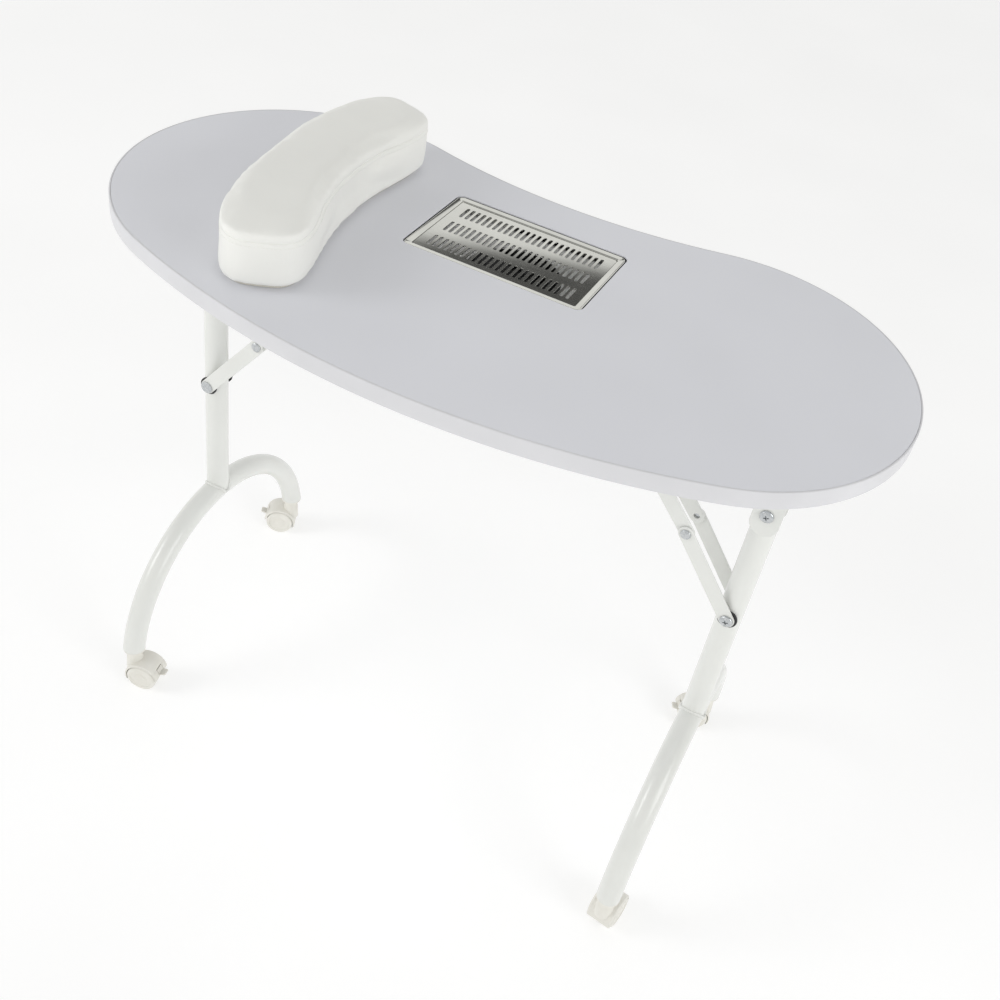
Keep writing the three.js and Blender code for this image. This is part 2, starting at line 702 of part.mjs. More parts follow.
function hoodShape() {
  const zoneRadius = wheelRadius + wheelToHood;
  const outside = zoneRadius + hoodThickness;
  const from = radians(hoodLowAngle);
  const to = radians(hoodBackAngle);
  const cover = new THREE.Shape();
  cover.absarc(0, 0, outside, from, to);
  cover.absarc(0, 0, zoneRadius, to, from, true);
  cover.closePath();
  const web = new THREE.Shape();
  web.absarc(0, 0, zoneRadius + hoodThickness / 2, from, to);
  web.absarc(0, 0, axleRadius + hubWall, to, 2 * Math.PI + from);
  web.closePath();
  const atAxle = (body) => body.translate([casterTrail, 0, wheelRadius]);
  const half = hoodWidth / 2;
  const boss = uprightCylinder(bossRadius, wheelRadius, bossTop)
    .subtract(crossCylinder(zoneRadius, -half, half, casterTrail, wheelRadius));
  let hood = atAxle(standing(cover, -half, half)).add(boss);
  hood = hood.add(atAxle(standing(web, -webThickness / 2, webThickness / 2)));
  const notchAngle = radians(leverTopAngle + leverTabAngle / 2);
  const notch = new THREE.Shape();
  notch.absarc(0, 0, outside + cutPast, 0, notchAngle);
  notch.absarc(0, 0, zoneRadius - leverNotchDepth, notchAngle, 0, true);
  notch.closePath();
  const notchHalf = leverWidth / 2 + leverGap;
  const stemHole = uprightCylinder(stemRadius + pinGap, bossTop - stemLength - restGap, bossTop + cutPast,
    stemSides);
  return hood
    .subtract(crossCylinder(axleRadius + pinGap, -half, half, casterTrail, wheelRadius, stemSides))
    .subtract(stemHole)
    .subtract(atAxle(standing(notch, -notchHalf, notchHalf)));
}

// Twin wheels on one axle, turned about the axle line.
function wheelShape() {
  const inside = webThickness / 2 + restGap;
  const outside = inside + wheelWidth;
  const half = [
    [axleRadius, inside], [wheelRadius - wheelEdge, inside], [wheelRadius, inside + wheelEdge],
    [wheelRadius, outside - wheelEdge], [wheelRadius - wheelEdge, outside],
    [wheelRadius - wheelEdge - wheelRim, outside],
    [wheelRadius - wheelEdge - wheelRim - wheelDish, outside - wheelDish], [0, outside - wheelDish],
  ];
  const mirrored = half.map(([radius, along]) => [radius, -along]).reverse();
  const profile = [...mirrored, ...half].map(([radius, along]) => new THREE.Vector2(radius, along));
  return solid(new THREE.LatheGeometry(profile, wheelSides));
}

// Foot lever in the hood's notch: a curved shoe over the tread and a tab to tread on.
function leverShape() {
  const inner = wheelRadius + wheelToHood + leverGap;
  const outer = wheelRadius + wheelToHood + hoodThickness;
  const shoe = new THREE.Shape();
  shoe.absarc(0, 0, outer, radians(leverLowAngle), radians(leverTopAngle));
  shoe.absarc(0, 0, inner, radians(leverTopAngle), radians(leverLowAngle), true);
  shoe.closePath();
  const tab = new THREE.Shape();
  const tabTop = radians(leverLowAngle + leverTabAngle);
  tab.absarc(0, 0, outer + leverReach, radians(leverLowAngle), tabTop);
  tab.absarc(0, 0, (inner + outer) / 2, tabTop, radians(leverLowAngle), true);
  tab.closePath();
  const half = leverWidth / 2;
  const lever = standing(shoe, -half, half).add(standing(tab, -half, half));
  return lever.translate([casterTrail, 0, wheelRadius]);
}

function makeCaster(leg, name, localY, turn) {
  const caster = new THREE.Group();
  caster.position.set(0, localY, 0);
  leg.add(caster);
  addPart(caster, `${name}_plug`, plugShape(Math.sign(localY)), creamPlastic());
  const swivel = new THREE.Group();
  swivel.rotation.z = radians(turn);
  caster.add(swivel);
  addPart(swivel, `${name}_hood`, hoodShape(), creamPlastic());
  addPart(swivel, `${name}_brake`, leverShape(), creamPlastic());
  const wheels = addPart(swivel, `${name}_wheels`, wheelShape(), creamPlastic());
  wheels.position.set(casterTrail, 0, wheelRadius);
}

function makeLeg(side) {
  const leg = new THREE.Group();
  const legTurn = side === 'left' ? 180 : 0;
  const frontSign = side === 'left' ? -1 : 1;
  leg.rotation.z = radians(legTurn);
  leg.position.x = frontSign * postX;
  table.add(leg);
  makeBracket(leg, side);
  addPart(leg, `${side}_pivot_bolt`, crossBolt(cheekOutside, foldPivotHeight), zincSteel());
  makePost(leg, side);
  makeFoot(leg, side);
  addPart(leg, `${side}_brace_bolt`, crossBolt(barOutside, bracePivotHeight), zincSteel());
  makeBraces(leg, side, frontSign);
  makeAnchor(leg, side);
  for (const place of ['front', 'back']) {
    const worldSign = place === 'front' ? -1 : 1;
    const name = `${side}_${place}`;
    makeCaster(leg, name, worldSign * frontSign * archEndY, trailing[name] - legTurn);
  }
}

// ---- armrest ------------------------------------------------------------------------------

// Bean outline: a soft-cornered oval with a narrower middle, bent round a centre to its right.
function bean(inset) {
  const points = [];
  const halfLength = armrestLength / 2 - inset;
  const halfWidth = armrestWidth / 2 - inset;
  const rounded = (value) => Math.sign(value) * Math.abs(value) ** (2 / armrestSquareness);
  for (let i = 0; i < beanSteps; i += 1) {
    const angle = (2 * Math.PI * (i + 0.5)) / beanSteps;
    const along = rounded(Math.sin(angle));
    const middle = 1 - along ** 2;
    const across = rounded(Math.cos(angle)) * (halfWidth - armrestWaist * middle);
    const turn = (along * halfLength) / armrestBendRadius;
    const reach = armrestBendRadius - across;
    points.push(new THREE.Vector2(armrestBendRadius - reach * Math.cos(turn), reach * Math.sin(turn)));
  }
  return new THREE.Shape(points);
}

function makeArmrest() {
  const armrest = new THREE.Group();
  armrest.position.set(armrestX, armrestY, topHeight);
  armrest.rotation.z = radians(armrestTurn);
  table.add(armrest);
  const board = solid(extruded(bean(armrestBoardInset), restGap, restGap + armrestBoard));
  addPart(armrest, 'armrest_board', board, armrestBoardWood());

  const bottom = 2 * restGap + armrestBoard;
  const cushion = new THREE.ExtrudeGeometry(bean(cushionRounding), {
    depth: armrestHeight - bottom - 2 * cushionRounding,
    bevelThickness: cushionRounding,
    bevelSize: cushionRounding,
    bevelSegments: 2,
  }).translate(0, 0, bottom + cushionRounding);
  addPart(armrest, 'armrest_cushion', solid(cushion), whiteLeatherette());
}

makeTop();
makeVent();
makeFanBox();
makeFan();
makeFanGuard();
makeControls();
makeLeg('right');
makeLeg('left');
makeArmrest();

export default table;
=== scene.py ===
import math

import bmesh
import bpy
from bpy.props import FloatProperty, FloatVectorProperty, IntProperty, PointerProperty
from mathutils import Matrix, Vector
from mathutils.bvhtree import BVHTree


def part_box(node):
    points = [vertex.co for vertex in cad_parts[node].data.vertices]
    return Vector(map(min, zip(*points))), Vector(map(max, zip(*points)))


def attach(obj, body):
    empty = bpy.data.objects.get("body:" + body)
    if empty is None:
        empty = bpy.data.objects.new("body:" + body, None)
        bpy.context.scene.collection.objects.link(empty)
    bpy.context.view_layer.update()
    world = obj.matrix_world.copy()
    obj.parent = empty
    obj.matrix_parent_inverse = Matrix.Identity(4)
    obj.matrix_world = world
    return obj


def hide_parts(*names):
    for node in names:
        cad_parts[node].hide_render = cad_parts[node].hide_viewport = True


bl_info = {
    "name": "Manicure table",
    "version": (1, 0, 0),
    "blender": (4, 5, 0),
    "location": "View3D > Sidebar > Manicure table",
    "description": "Finishes a folding manicure table: laminated top, vent, legs, casters and armrest",
    "category": "Object",
}

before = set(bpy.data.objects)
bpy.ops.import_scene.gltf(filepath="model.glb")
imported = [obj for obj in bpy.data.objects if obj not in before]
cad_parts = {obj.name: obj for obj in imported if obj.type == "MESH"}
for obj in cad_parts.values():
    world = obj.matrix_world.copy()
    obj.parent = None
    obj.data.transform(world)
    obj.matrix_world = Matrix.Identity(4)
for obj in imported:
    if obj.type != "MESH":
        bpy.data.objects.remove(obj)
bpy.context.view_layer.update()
MM = 0.001
SIDES = ("left", "right")
PLACES = ("front", "back")


# ---- places and sizes read from the frame -------------------------------------------------

def middle(node):
    """The centre of a frame node's box."""
    low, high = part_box(node)
    return (Vector(low) + Vector(high)) / 2


def extent(node):
    """The size of a frame node's box."""
    low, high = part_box(node)
    return Vector(high) - Vector(low)


TOP_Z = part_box("top_board")[1][2]
UNDERSIDE_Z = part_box("top_board")[0][2]
NODE_GAP = 0.3 * MM
LEAST_RADIUS = 0.05 * MM
BAND_THICKNESS = 2 * MM
VENT_CORNER = 8.7 * MM
STEEL_SHEET = 1.2 * MM
LEDGE_WIDTH = 5 * MM
RIM_SLOPE = 0.6 * MM
FAN_HUB_RADIUS = 20 * MM
TUBE_RADIUS = 14.5 * MM
POST_X = middle("right_post").x
FOOT_RADIUS = 187 * MM
FOOT_CENTRE_Z = 28 * MM
FOOT_END_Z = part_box("right_foot")[0][2]
POST_TOP_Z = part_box("right_post")[1][2]
FOLD_PIVOT_Z = middle("right_pivot_bolt").z
BRACE_PIVOT_Z = middle("right_brace_bolt").z
BRACKET_SHEET = 2.5 * MM
BRACKET_WIDTH = 32 * MM
WEB_BOTTOM_Z = 576 * MM
BAR_SHEET = 2.5 * MM
BAR_WIDTH = 18 * MM
SPACER_RADIUS = 11.5 * MM
LAYER_GAP = 0.3 * MM
LINK_INSIDE = TUBE_RADIUS + LAYER_GAP
CHEEK_OUTSIDE = LINK_INSIDE + BRACKET_SHEET
BAR_INSIDE = LINK_INSIDE + BAR_SHEET + LAYER_GAP
KNEE_X = middle("right_front_knee_rivet").x - POST_X
KNEE_Z = middle("right_front_knee_rivet").z
ANCHOR_X = middle("right_anchor_pin").x - POST_X
ANCHOR_Z = middle("right_anchor_pin").z
WHEEL_RADIUS = 20 * MM
CASTER_TRAIL = 15 * MM
HOOD_WIDTH = 33 * MM
BOSS_TOP_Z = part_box("right_front_hood")[1][2]
ARMREST_X = -223.4 * MM
ARMREST_Y = 2.4 * MM
ARMREST_TURN = 5.9
BEAN_SQUARENESS = 3.6
BEAN_BEND_RADIUS = 472 * MM
BEAN_WAIST = 7.6 * MM
WELT_RISE = 0.15 * MM
STITCH_RISE = 0.12 * MM
STITCH_DROP = 4 * MM
GROOVE_DEPTH = 1.1 * MM
GROOVE_WIDTH = 1.5 * MM
AIR_PRESSURE = 4.0
SWELL_LIMIT = 5 * MM
SWELL_HOLD = 25 * MM
SKIN_SIZE = 4.5 * MM
CLOTH_FRAMES = 20
WALL_LEVEL = 0.95
GAP_LEVEL = 0.10
CEILING_RISE = 0.84
CROWN_DROP = -0.58
FLOOR_REACH = 14.0
CAMERA_SPOT = (0.41794, -1.02111, 1.34143)
CAMERA_TURN = (48.6013, -8.2280, 26.8006)
CAMERA_LENS = 44.08


def side_sign(side):
    return 1 if side == "right" else -1


def place_sign(place):
    return -1 if place == "front" else 1


# ---- shapes: every piece is made of closed shells, each a row of rings ---------------------

def circle(radius, count, start=0.0):
    """Points of a circle about the origin, in two dimensions."""
    step = 2 * math.pi / count
    return [(radius * math.cos(start + i * step), radius * math.sin(start + i * step)) for i in range(count)]


def arc(centre, radius, start, end, count):
    """Points of an arc from one angle to another, both included."""
    step = (end - start) / count
    return [
        (centre[0] + radius * math.cos(start + i * step), centre[1] + radius * math.sin(start + i * step))
        for i in range(count + 1)
    ]


def lifted(outline, height, place=Matrix()):
    """A flat outline raised to a height and put in its place."""
    return [place @ Vector((x, y, height)) for x, y in outline]


def slab(outline, low, high, edge=0.0, place=Matrix(), steps=3):
    """A closed slab with rounded edges; outline(inset) gives the points for an inset."""
    if edge == 0:
        return [lifted(outline(0), low, place), lifted(outline(0), high, place)], False
    rings = [lifted(outline(1.7 * edge), low, place)]
    for i in range(steps + 1):
        turn = math.pi / 2 * i / steps
        rings.append(lifted(outline(edge * (1 - math.sin(turn))), low + edge * (1 - math.cos(turn)), place))
    for i in range(steps, -1, -1):
        turn = math.pi / 2 * i / steps
        rings.append(lifted(outline(edge * (1 - math.sin(turn))), high - edge * (1 - math.cos(turn)), place))
    rings.append(lifted(outline(1.7 * edge), high, place))
    return rings, False


def band(outer, inner, low, high, edge, place=Matrix()):
    """A closed ring with eased edges between an outer and an inner outline function."""
    rings = [
        lifted(outer(edge), low, place), lifted(outer(0.3 * edge), low + 0.3 * edge, place),
        lifted(outer(0), low + edge, place), lifted(outer(0), high - edge, place),
        lifted(outer(0.3 * edge), high - 0.3 * edge, place), lifted(outer(edge), high, place),
        lifted(inner, high, place), lifted(inner, low, place),
    ]
    return rings, True


def turned(profile, place=Matrix(), count=32):
    """A closed turned shape: profile points are (radius, height) along the place's Z axis."""
    rings = [lifted(circle(max(radius, LEAST_RADIUS), count), height, place) for radius, height in profile]
    return rings, False


def rod(radius, low, high, place=Matrix(), count=32):
    """A closed cylinder between two heights."""
    return turned([(0, low), (radius, low), (radius, high), (0, high)], place, count)


def eased_rod(radius, low, high, ease, place, count=48):
    """A closed cylinder between two heights with its rims cut back."""
    return turned([
        (0, low), (radius - ease, low), (radius, low + ease),
        (radius, high - ease), (radius - ease, high), (0, high),
    ], place, count)


def swept(points, radius, count=24, loop=False, across=Vector((1, 0, 0))):
    """A round rod along points that lie in a plane square to across."""
    rings = []
    total = len(points)
    for i, point in enumerate(points):
        before = points[(i - 1) % total] if loop or i > 0 else point
        after = points[(i + 1) % total] if loop or i < total - 1 else point
        along = (after - before).normalized()
        up = along.cross(across).normalized()
        side = up.cross(along).normalized()
        rings.append([point + side * x + up * y for x, y in circle(radius, count)])
    return rings, loop


def shell_mesh(rings, loop):
    """One closed shell as a bmesh, with its faces pointing out."""
    part = bmesh.new()
    rows = [[part.verts.new(point) for point in ring] for ring in rings]
    following = rows[1:] + rows[:1] if loop else rows[1:]
    for low, high in zip(rows, following):
        for i in range(len(low)):
            j = (i + 1) % len(low)
            part.faces.new((low[i], low[j], high[j], high[i]))
    if not loop:
        part.faces.new(rows[0])
        part.faces.new(rows[-1])
    bmesh.ops.remove_doubles(part, verts=part.verts, dist=1e-7)
    bmesh.ops.recalc_face_normals(part, faces=part.faces)
    return part


def finish_piece(piece, finish, body, *replaced):
    """Gives a piece its finish, its body and the frame nodes it stands for."""
    if not piece.data.materials:
        piece.data.materials.append(finishes()[finish])
    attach(piece, body)
    if replaced:
        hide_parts(*replaced)
    return piece


def settled(piece):
    """Turns a piece with modifiers into a plain mesh and removes the modifiers."""
    depsgraph = bpy.context.evaluated_depsgraph_get()
    mesh = bpy.data.meshes.new_from_object(piece.evaluated_get(depsgraph), depsgraph=depsgraph)
    piece.modifiers.clear()
    piece.data = mesh
    return piece


# ---- colours and materials ----------------------------------------------------------------

def linear(hex_colour):
    """An sRGB hex colour as linear red, green, blue and alpha."""
    parts = [int(hex_colour[i:i + 2], 16) / 255 for i in (1, 3, 5)]
    return tuple(c / 12.92 if c <= 0.04045 else ((c + 0.055) / 1.055) ** 2.4 for c in parts) + (1.0,)


def add_node(tree, kind, inputs=None, **settings):
    """Adds a node, sets its properties, and fills its inputs with values or with other nodes' outputs."""
    node = tree.nodes.new(kind)
    for name, value in settings.items():
        setattr(node, name, value)
    for name, value in (inputs or {}).items():
        if isinstance(value, bpy.types.NodeSocket):
            tree.links.new(value, node.inputs[name])
        else:
            node.inputs[name].default_value = value
    return node


def start_material(name):
    """A new material with its tree, its shader and the object's own coordinates in metres."""
    material = bpy.data.materials.new(name)
    material.use_nodes = True
    tree = material.node_tree
    tree.nodes.clear()
    shader = add_node(tree, "ShaderNodeBsdfPrincipled")
    add_node(tree, "ShaderNodeOutputMaterial", {"Surface": shader.outputs["BSDF"]})
    place = add_node(tree, "ShaderNodeTexCoord").outputs["Object"]
    return material, tree, shader, place


def noise(tree, place, size, detail=2.0, roughness=0.5):
    """Noise whose blotches are about size across, in metres."""
    return add_node(tree, "ShaderNodeTexNoise", {
        "Vector": place, "Scale": 1 / size, "Detail": detail, "Roughness": roughness,
    }).outputs["Fac"]


def between(tree, factor, low, high):
    """A number that runs from low to high with a factor."""
    return add_node(tree, "ShaderNodeMapRange", {
        "Value": factor, "From Min": 0.3, "From Max": 0.7, "To Min": low, "To Max": high,
    }).outputs["Result"]


def tinted(tree, factor, first, second):
    """A colour that runs from one hex colour to another with a factor."""
    mix = add_node(tree, "ShaderNodeMix", data_type="RGBA")
    ramp = between(tree, factor, 0.0, 1.0)
    tree.links.new(ramp, mix.inputs[0])
    mix.inputs[6].default_value = linear(first) if isinstance(first, str) else first
    mix.inputs[7].default_value = linear(second) if isinstance(second, str) else second
    return mix.outputs[2]


def scaled(rgba, share):
    """A colour made a little darker or lighter."""
    return tuple(part * share for part in rgba[:3]) + (1.0,)


def raised(tree, height, depth, normal=None):
    """A bump of a given depth in metres."""
    inputs = {"Height": height, "Strength": 1.0, "Distance": depth}
    if normal:
        inputs["Normal"] = normal
    return add_node(tree, "ShaderNodeBump", inputs).outputs["Normal"]


def shade(shader, **values):
    """Sets or links the shader's inputs; underscores stand for spaces."""
    for name, value in values.items():
        socket = shader.inputs[name.replace("_", " ")]
        if isinstance(value, bpy.types.NodeSocket):
            shader.id_data.links.new(value, socket)
        else:
            socket.default_value = value
    return shader


def melamine_laminate(look):
    """Melamine laminate on board, pressed against a pearl-textured plate: satin, with a soft even sheen."""
    material, tree, shader, place = start_material("melamine laminate")
    cloud = noise(tree, place, 140 * MM, 1.0)
    pearl = noise(tree, place, 1.6 * MM, 2.0)
    colour = tinted(tree, cloud, tuple(look.laminate), scaled(look.laminate, 1.03))
    shade(shader, Base_Color=colour, Roughness=between(tree, pearl, 0.40, 0.50), IOR=1.5,
          Normal=raised(tree, pearl, 0.012 * MM))
    return material


def edge_banding():
    """Extruded PVC edge banding, scraped flush: smooth and white, a little wavy along its length."""
    material, tree, shader, place = start_material("pvc edge banding")
    wave = noise(tree, place, 35 * MM, 1.0)
    colour = tinted(tree, noise(tree, place, 60 * MM), "#d2d2d5", "#d7d7da")
    shade(shader, Base_Color=colour, Roughness=between(tree, wave, 0.42, 0.48), IOR=1.53,
          Normal=raised(tree, wave, 0.03 * MM))
    return material


def powder_coat(look):
    """Polyester powder coat baked on steel: glossy white with a faint orange peel."""
    material, tree, shader, place = start_material("white powder coat")
    peel = noise(tree, place, 9 * MM, 0.0)
    colour = tinted(tree, noise(tree, place, 45 * MM), tuple(look.coat), scaled(look.coat, 0.97))
    shade(shader, Base_Color=colour, Roughness=between(tree, peel, 0.28, 0.33), IOR=1.5,
          Coat_Weight=0.45, Coat_Roughness=0.12, Normal=raised(tree, peel, 0.0015 * MM))
    return material


def polished_stainless():
    """Stainless sheet polished to a mirror: clear reflections, softened by fine rolling lines."""
    material, tree, shader, place = start_material("polished stainless steel")
    stretched = add_node(tree, "ShaderNodeMapping", {
        "Vector": place, "Scale": (0.04, 1.0, 1.0),
    }).outputs["Vector"]
    lines = noise(tree, stretched, 0.7 * MM, 2.0)
    smears = noise(tree, place, 30 * MM, 2.0)
    colour = tinted(tree, smears, "#cfcfca", "#d6d6d1")
    shade(shader, Base_Color=colour, Metallic=1.0, Roughness=between(tree, lines, 0.03, 0.06))
    return material


def zinc_plate():
    """Bright zinc plating on steel fasteners: bluish silver, slightly clouded."""
    material, tree, shader, place = start_material("bright zinc plate")
    cloud = noise(tree, place, 3 * MM, 3.0)
    colour = tinted(tree, cloud, "#b4b8bb", "#cfd1d2")
    shade(shader, Base_Color=colour, Metallic=1.0, Roughness=between(tree, cloud, 0.2, 0.34))
    return material


def moulded(name, light, dark, rough, grain):
    """Injection-moulded plastic with a fine spark-eroded texture from the mould."""
    material, tree, shader, place = start_material(name)
    texture = noise(tree, place, grain, 2.0)
    colour = tinted(tree, noise(tree, place, 18 * MM, 2.0), light, dark)
    shade(shader, Base_Color=colour, Roughness=between(tree, texture, rough - 0.05, rough + 0.06), IOR=1.49,
          Normal=raised(tree, texture, 0.02 * MM))
    return material


def box_plastic():
    """Thin white plastic of the fan box: satin, and light glows through its two-millimetre walls."""
    material, tree, shader, place = start_material("thin white plastic")
    texture = noise(tree, place, 1.2 * MM, 2.0)
    colour = tinted(tree, noise(tree, place, 25 * MM, 2.0), "#f0f0ee", "#f5f5f3")
    shade(shader, Base_Color=colour, Roughness=between(tree, texture, 0.4, 0.5), IOR=1.49,
          Subsurface_Weight=1.0, Subsurface_Radius=(1.0, 1.0, 1.0), Subsurface_Scale=4 * MM,
          Normal=raised(tree, texture, 0.01 * MM))
    return material


def foam_rubber():
    """Closed-cell rubber strip: matt black with small pores."""
    material, tree, shader, place = start_material("black foam rubber")
    pores = add_node(tree, "ShaderNodeTexVoronoi", {
        "Vector": place, "Scale": 1 / (1.2 * MM),
    }).outputs["Distance"]
    colour = tinted(tree, noise(tree, place, 8 * MM), "#101011", "#1c1c1e")
    shade(shader, Base_Color=colour, Roughness=0.9, Normal=raised(tree, pores, 0.15 * MM))
    return material


def leatherette(look):
    """White PU leatherette on knitted backing: soft sheen, fine pebbled grain and shallow creases."""
    material, tree, shader, place = start_material("white leatherette")
    pebbles = add_node(tree, "ShaderNodeTexVoronoi", {
        "Vector": place, "Scale": 1 / (1.3 * MM), "Randomness": 0.9,
    }, feature="SMOOTH_F1").outputs["Distance"]
    creases = noise(tree, place, 26 * MM, 4.0, 0.62)
    colour = tinted(tree, noise(tree, place, 70 * MM, 2.0), tuple(look.leatherette),
                    scaled(look.leatherette, 0.97))
    soft = raised(tree, creases, 0.5 * MM)
    shade(shader, Base_Color=colour, Roughness=between(tree, creases, 0.40, 0.52), IOR=1.48,
          Sheen_Weight=0.08, Sheen_Roughness=0.4, Normal=raised(tree, pebbles, 0.035 * MM, soft))
    return material


def thread():
    """Bonded polyester sewing thread: white, faintly ribbed by its twist."""
    material, tree, shader, place = start_material("white sewing thread")
    twist = add_node(tree, "ShaderNodeTexWave", {"Vector": place, "Scale": 1 / (1.2 * MM)}).outputs["Fac"]
    colour = tinted(tree, twist, "#e3e3de", "#f1f1ed")
    shade(shader, Base_Color=colour, Roughness=0.6, Normal=raised(tree, twist, 0.05 * MM))
    return material


def fibreboard():
    """Medium density fibreboard, brown in itself, coloured pale as painted light thrown up from the white
    top: a dull face with fine flecks showing through.
    """
    material, tree, shader, place = start_material("fibreboard painted pale for bounce light")
    flecks = noise(tree, place, 1.5 * MM, 4.0, 0.7)
    # painted light: these pale colours stand in for light bounced from the white top onto the brown board;
    # the flecks are the board's own grain
    colour = tinted(tree, flecks, "#c9c5ba", "#d6d3ca")
    shade(shader, Base_Color=colour, Roughness=0.8, Normal=raised(tree, flecks, 0.08 * MM))
    return material


MATERIALS = {}


def finishes():
    """Every material of the table, made once."""
    if not MATERIALS:
        look = bpy.context.scene.manicure_finish
        MATERIALS.update({
            "laminate": melamine_laminate(look),
            "banding": edge_banding(),
            "coat": powder_coat(look),
            "steel": polished_stainless(),
            "zinc": zinc_plate(),
            "black": moulded("black abs", "#131415", "#1d1e20", 0.45, 0.9 * MM),
            "cream": moulded("cream nylon", "#dddbd3", "#e5e3dc", 0.36, 1.1 * MM),
            "rubber": foam_rubber(),
            "leatherette": leatherette(look),
            "thread": thread(),
            "board": fibreboard(),
            "box": box_plastic(),
        })
    return MATERIALS


def paint_node(node, material):
    """Gives a frame node one of the table's materials."""
    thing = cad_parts[node]
    if not thing.material_slots:
        thing.data.materials.append(material)
    for slot in thing.material_slots:
        slot.material = material


# ---- recipes: geometry node trees for what repeats ----------------------------------------

def start_recipe(name, sizes):
    """A geometry node tree with one number input for each named size."""
    tree = bpy.data.node_groups.new(name, "GeometryNodeTree")
    tree.interface.new_socket("Geometry", in_out="INPUT", socket_type="NodeSocketGeometry")
    tree.interface.new_socket("Geometry", in_out="OUTPUT", socket_type="NodeSocketGeometry")
    for label, value in sizes.items():
        kind = "NodeSocketInt" if isinstance(value, int) else "NodeSocketFloat"
        tree.interface.new_socket(label, in_out="INPUT", socket_type=kind)
    return tree, add_node(tree, "NodeGroupInput").outputs


def end_recipe(tree, geometry, material):
    """Ends a tree in real geometry with its material set."""
    real = realized(tree, geometry)
    done = add_node(tree, "GeometryNodeSetMaterial", {"Geometry": real, "Material": material})
    add_node(tree, "NodeGroupOutput", {"Geometry": done.outputs["Geometry"]})


def follow_recipe(name, tree, sizes, base=None):
    """Runs a tree on a base mesh or curve and gives back the plain mesh it makes."""
    data = base or bpy.data.meshes.new(name)
    maker = bpy.data.objects.new(name, data)
    bpy.context.scene.collection.objects.link(maker)
    modifier = maker.modifiers.new("recipe", "NODES")
    modifier.node_group = tree
    for socket in tree.interface.items_tree:
        if socket.in_out == "INPUT" and socket.name in sizes:
            modifier[socket.identifier] = sizes[socket.name]
    depsgraph = bpy.context.evaluated_depsgraph_get()
    mesh = bpy.data.meshes.new_from_object(maker.evaluated_get(depsgraph), depsgraph=depsgraph)
    maker.modifiers.clear()
    bpy.data.objects.remove(maker)
    piece = bpy.data.objects.new(name, mesh)
    bpy.context.scene.collection.objects.link(piece)
    return piece


def math_node(tree, operation, first, second=0.0):
    """The result of a sum on one or two numbers."""
    return add_node(tree, "ShaderNodeMath", {0: first, 1: second}, operation=operation).outputs[0]


def vector(tree, x=0.0, y=0.0, z=0.0):
    """A vector of three numbers or outputs."""
    return add_node(tree, "ShaderNodeCombineXYZ", {"X": x, "Y": y, "Z": z}).outputs["Vector"]


def shifted(tree, geometry, **inputs):
    """Geometry moved, turned or scaled."""
    return add_node(tree, "GeometryNodeTransform", {"Geometry": geometry, **inputs}).outputs["Geometry"]


def seated(tree, geometry, given):
    """Geometry moved to the recipe's own place."""
    return shifted(tree, geometry, Translation=vector(tree, given["X"], given["Y"], given["Z"]))


def placed(tree, points, instance, **inputs):
    """An instance on every point."""
    return add_node(tree, "GeometryNodeInstanceOnPoints", {
        "Points": points, "Instance": instance, **inputs,
    }).outputs["Instances"]


def realized(tree, instances):
    """Instances as real geometry."""
    return add_node(tree, "GeometryNodeRealizeInstances", {"Geometry": instances}).outputs["Geometry"]


def around(tree, index, count):
    """The angle of one of a number of equal turns."""
    return math_node(tree, "MULTIPLY", math_node(tree, "DIVIDE", index, count), 2 * math.pi)


def joined(tree, *geometries):
    """Several geometries as one."""
    join = add_node(tree, "GeometryNodeJoinGeometry")
    for geometry in geometries:
        tree.links.new(geometry, join.inputs[0])
    return join.outputs[0]


def screws_recipe(sizes, material):
    """Domed screw heads standing on every point of a mesh, each along the point's normal."""
    tree, given = start_recipe("screw heads", sizes)
    ball = add_node(tree, "GeometryNodeMeshIcoSphere", {"Radius": given["Head radius"], "Subdivisions": 3})
    dome = shifted(tree, ball.outputs["Mesh"], Scale=vector(tree, 1.0, 1.0, given["Flatness"]))
    slot = add_node(tree, "GeometryNodeMeshCube", {"Size": (1.0, 0.18, 1.0)}).outputs["Mesh"]
    head = given["Head radius"]
    width = vector(tree, math_node(tree, "MULTIPLY", head, 1.15), head, head)
    rise = vector(tree, z=math_node(tree, "MULTIPLY", head, 0.72))
    bar = shifted(tree, slot, Scale=width, Translation=rise)
    crossing = shifted(tree, bar, Rotation=(0.0, 0.0, math.radians(90)))
    cross = add_node(tree, "GeometryNodeMeshBoolean", {
        "Mesh 2": joined(tree, bar, crossing),
    }, operation="DIFFERENCE")
    tree.links.new(dome, cross.inputs["Mesh 1"])
    normal = add_node(tree, "GeometryNodeInputNormal").outputs[0]
    upright = add_node(tree, "FunctionNodeAlignRotationToVector", {
        "Vector": normal,
    }, axis="Z").outputs["Rotation"]
    points = add_node(tree, "GeometryNodeMeshToPoints", {"Mesh": given["Geometry"]}).outputs["Points"]
    end_recipe(tree, placed(tree, points, cross.outputs["Mesh"], Rotation=upright), material)
    return tree


# ---- outlines -----------------------------------------------------------------------------

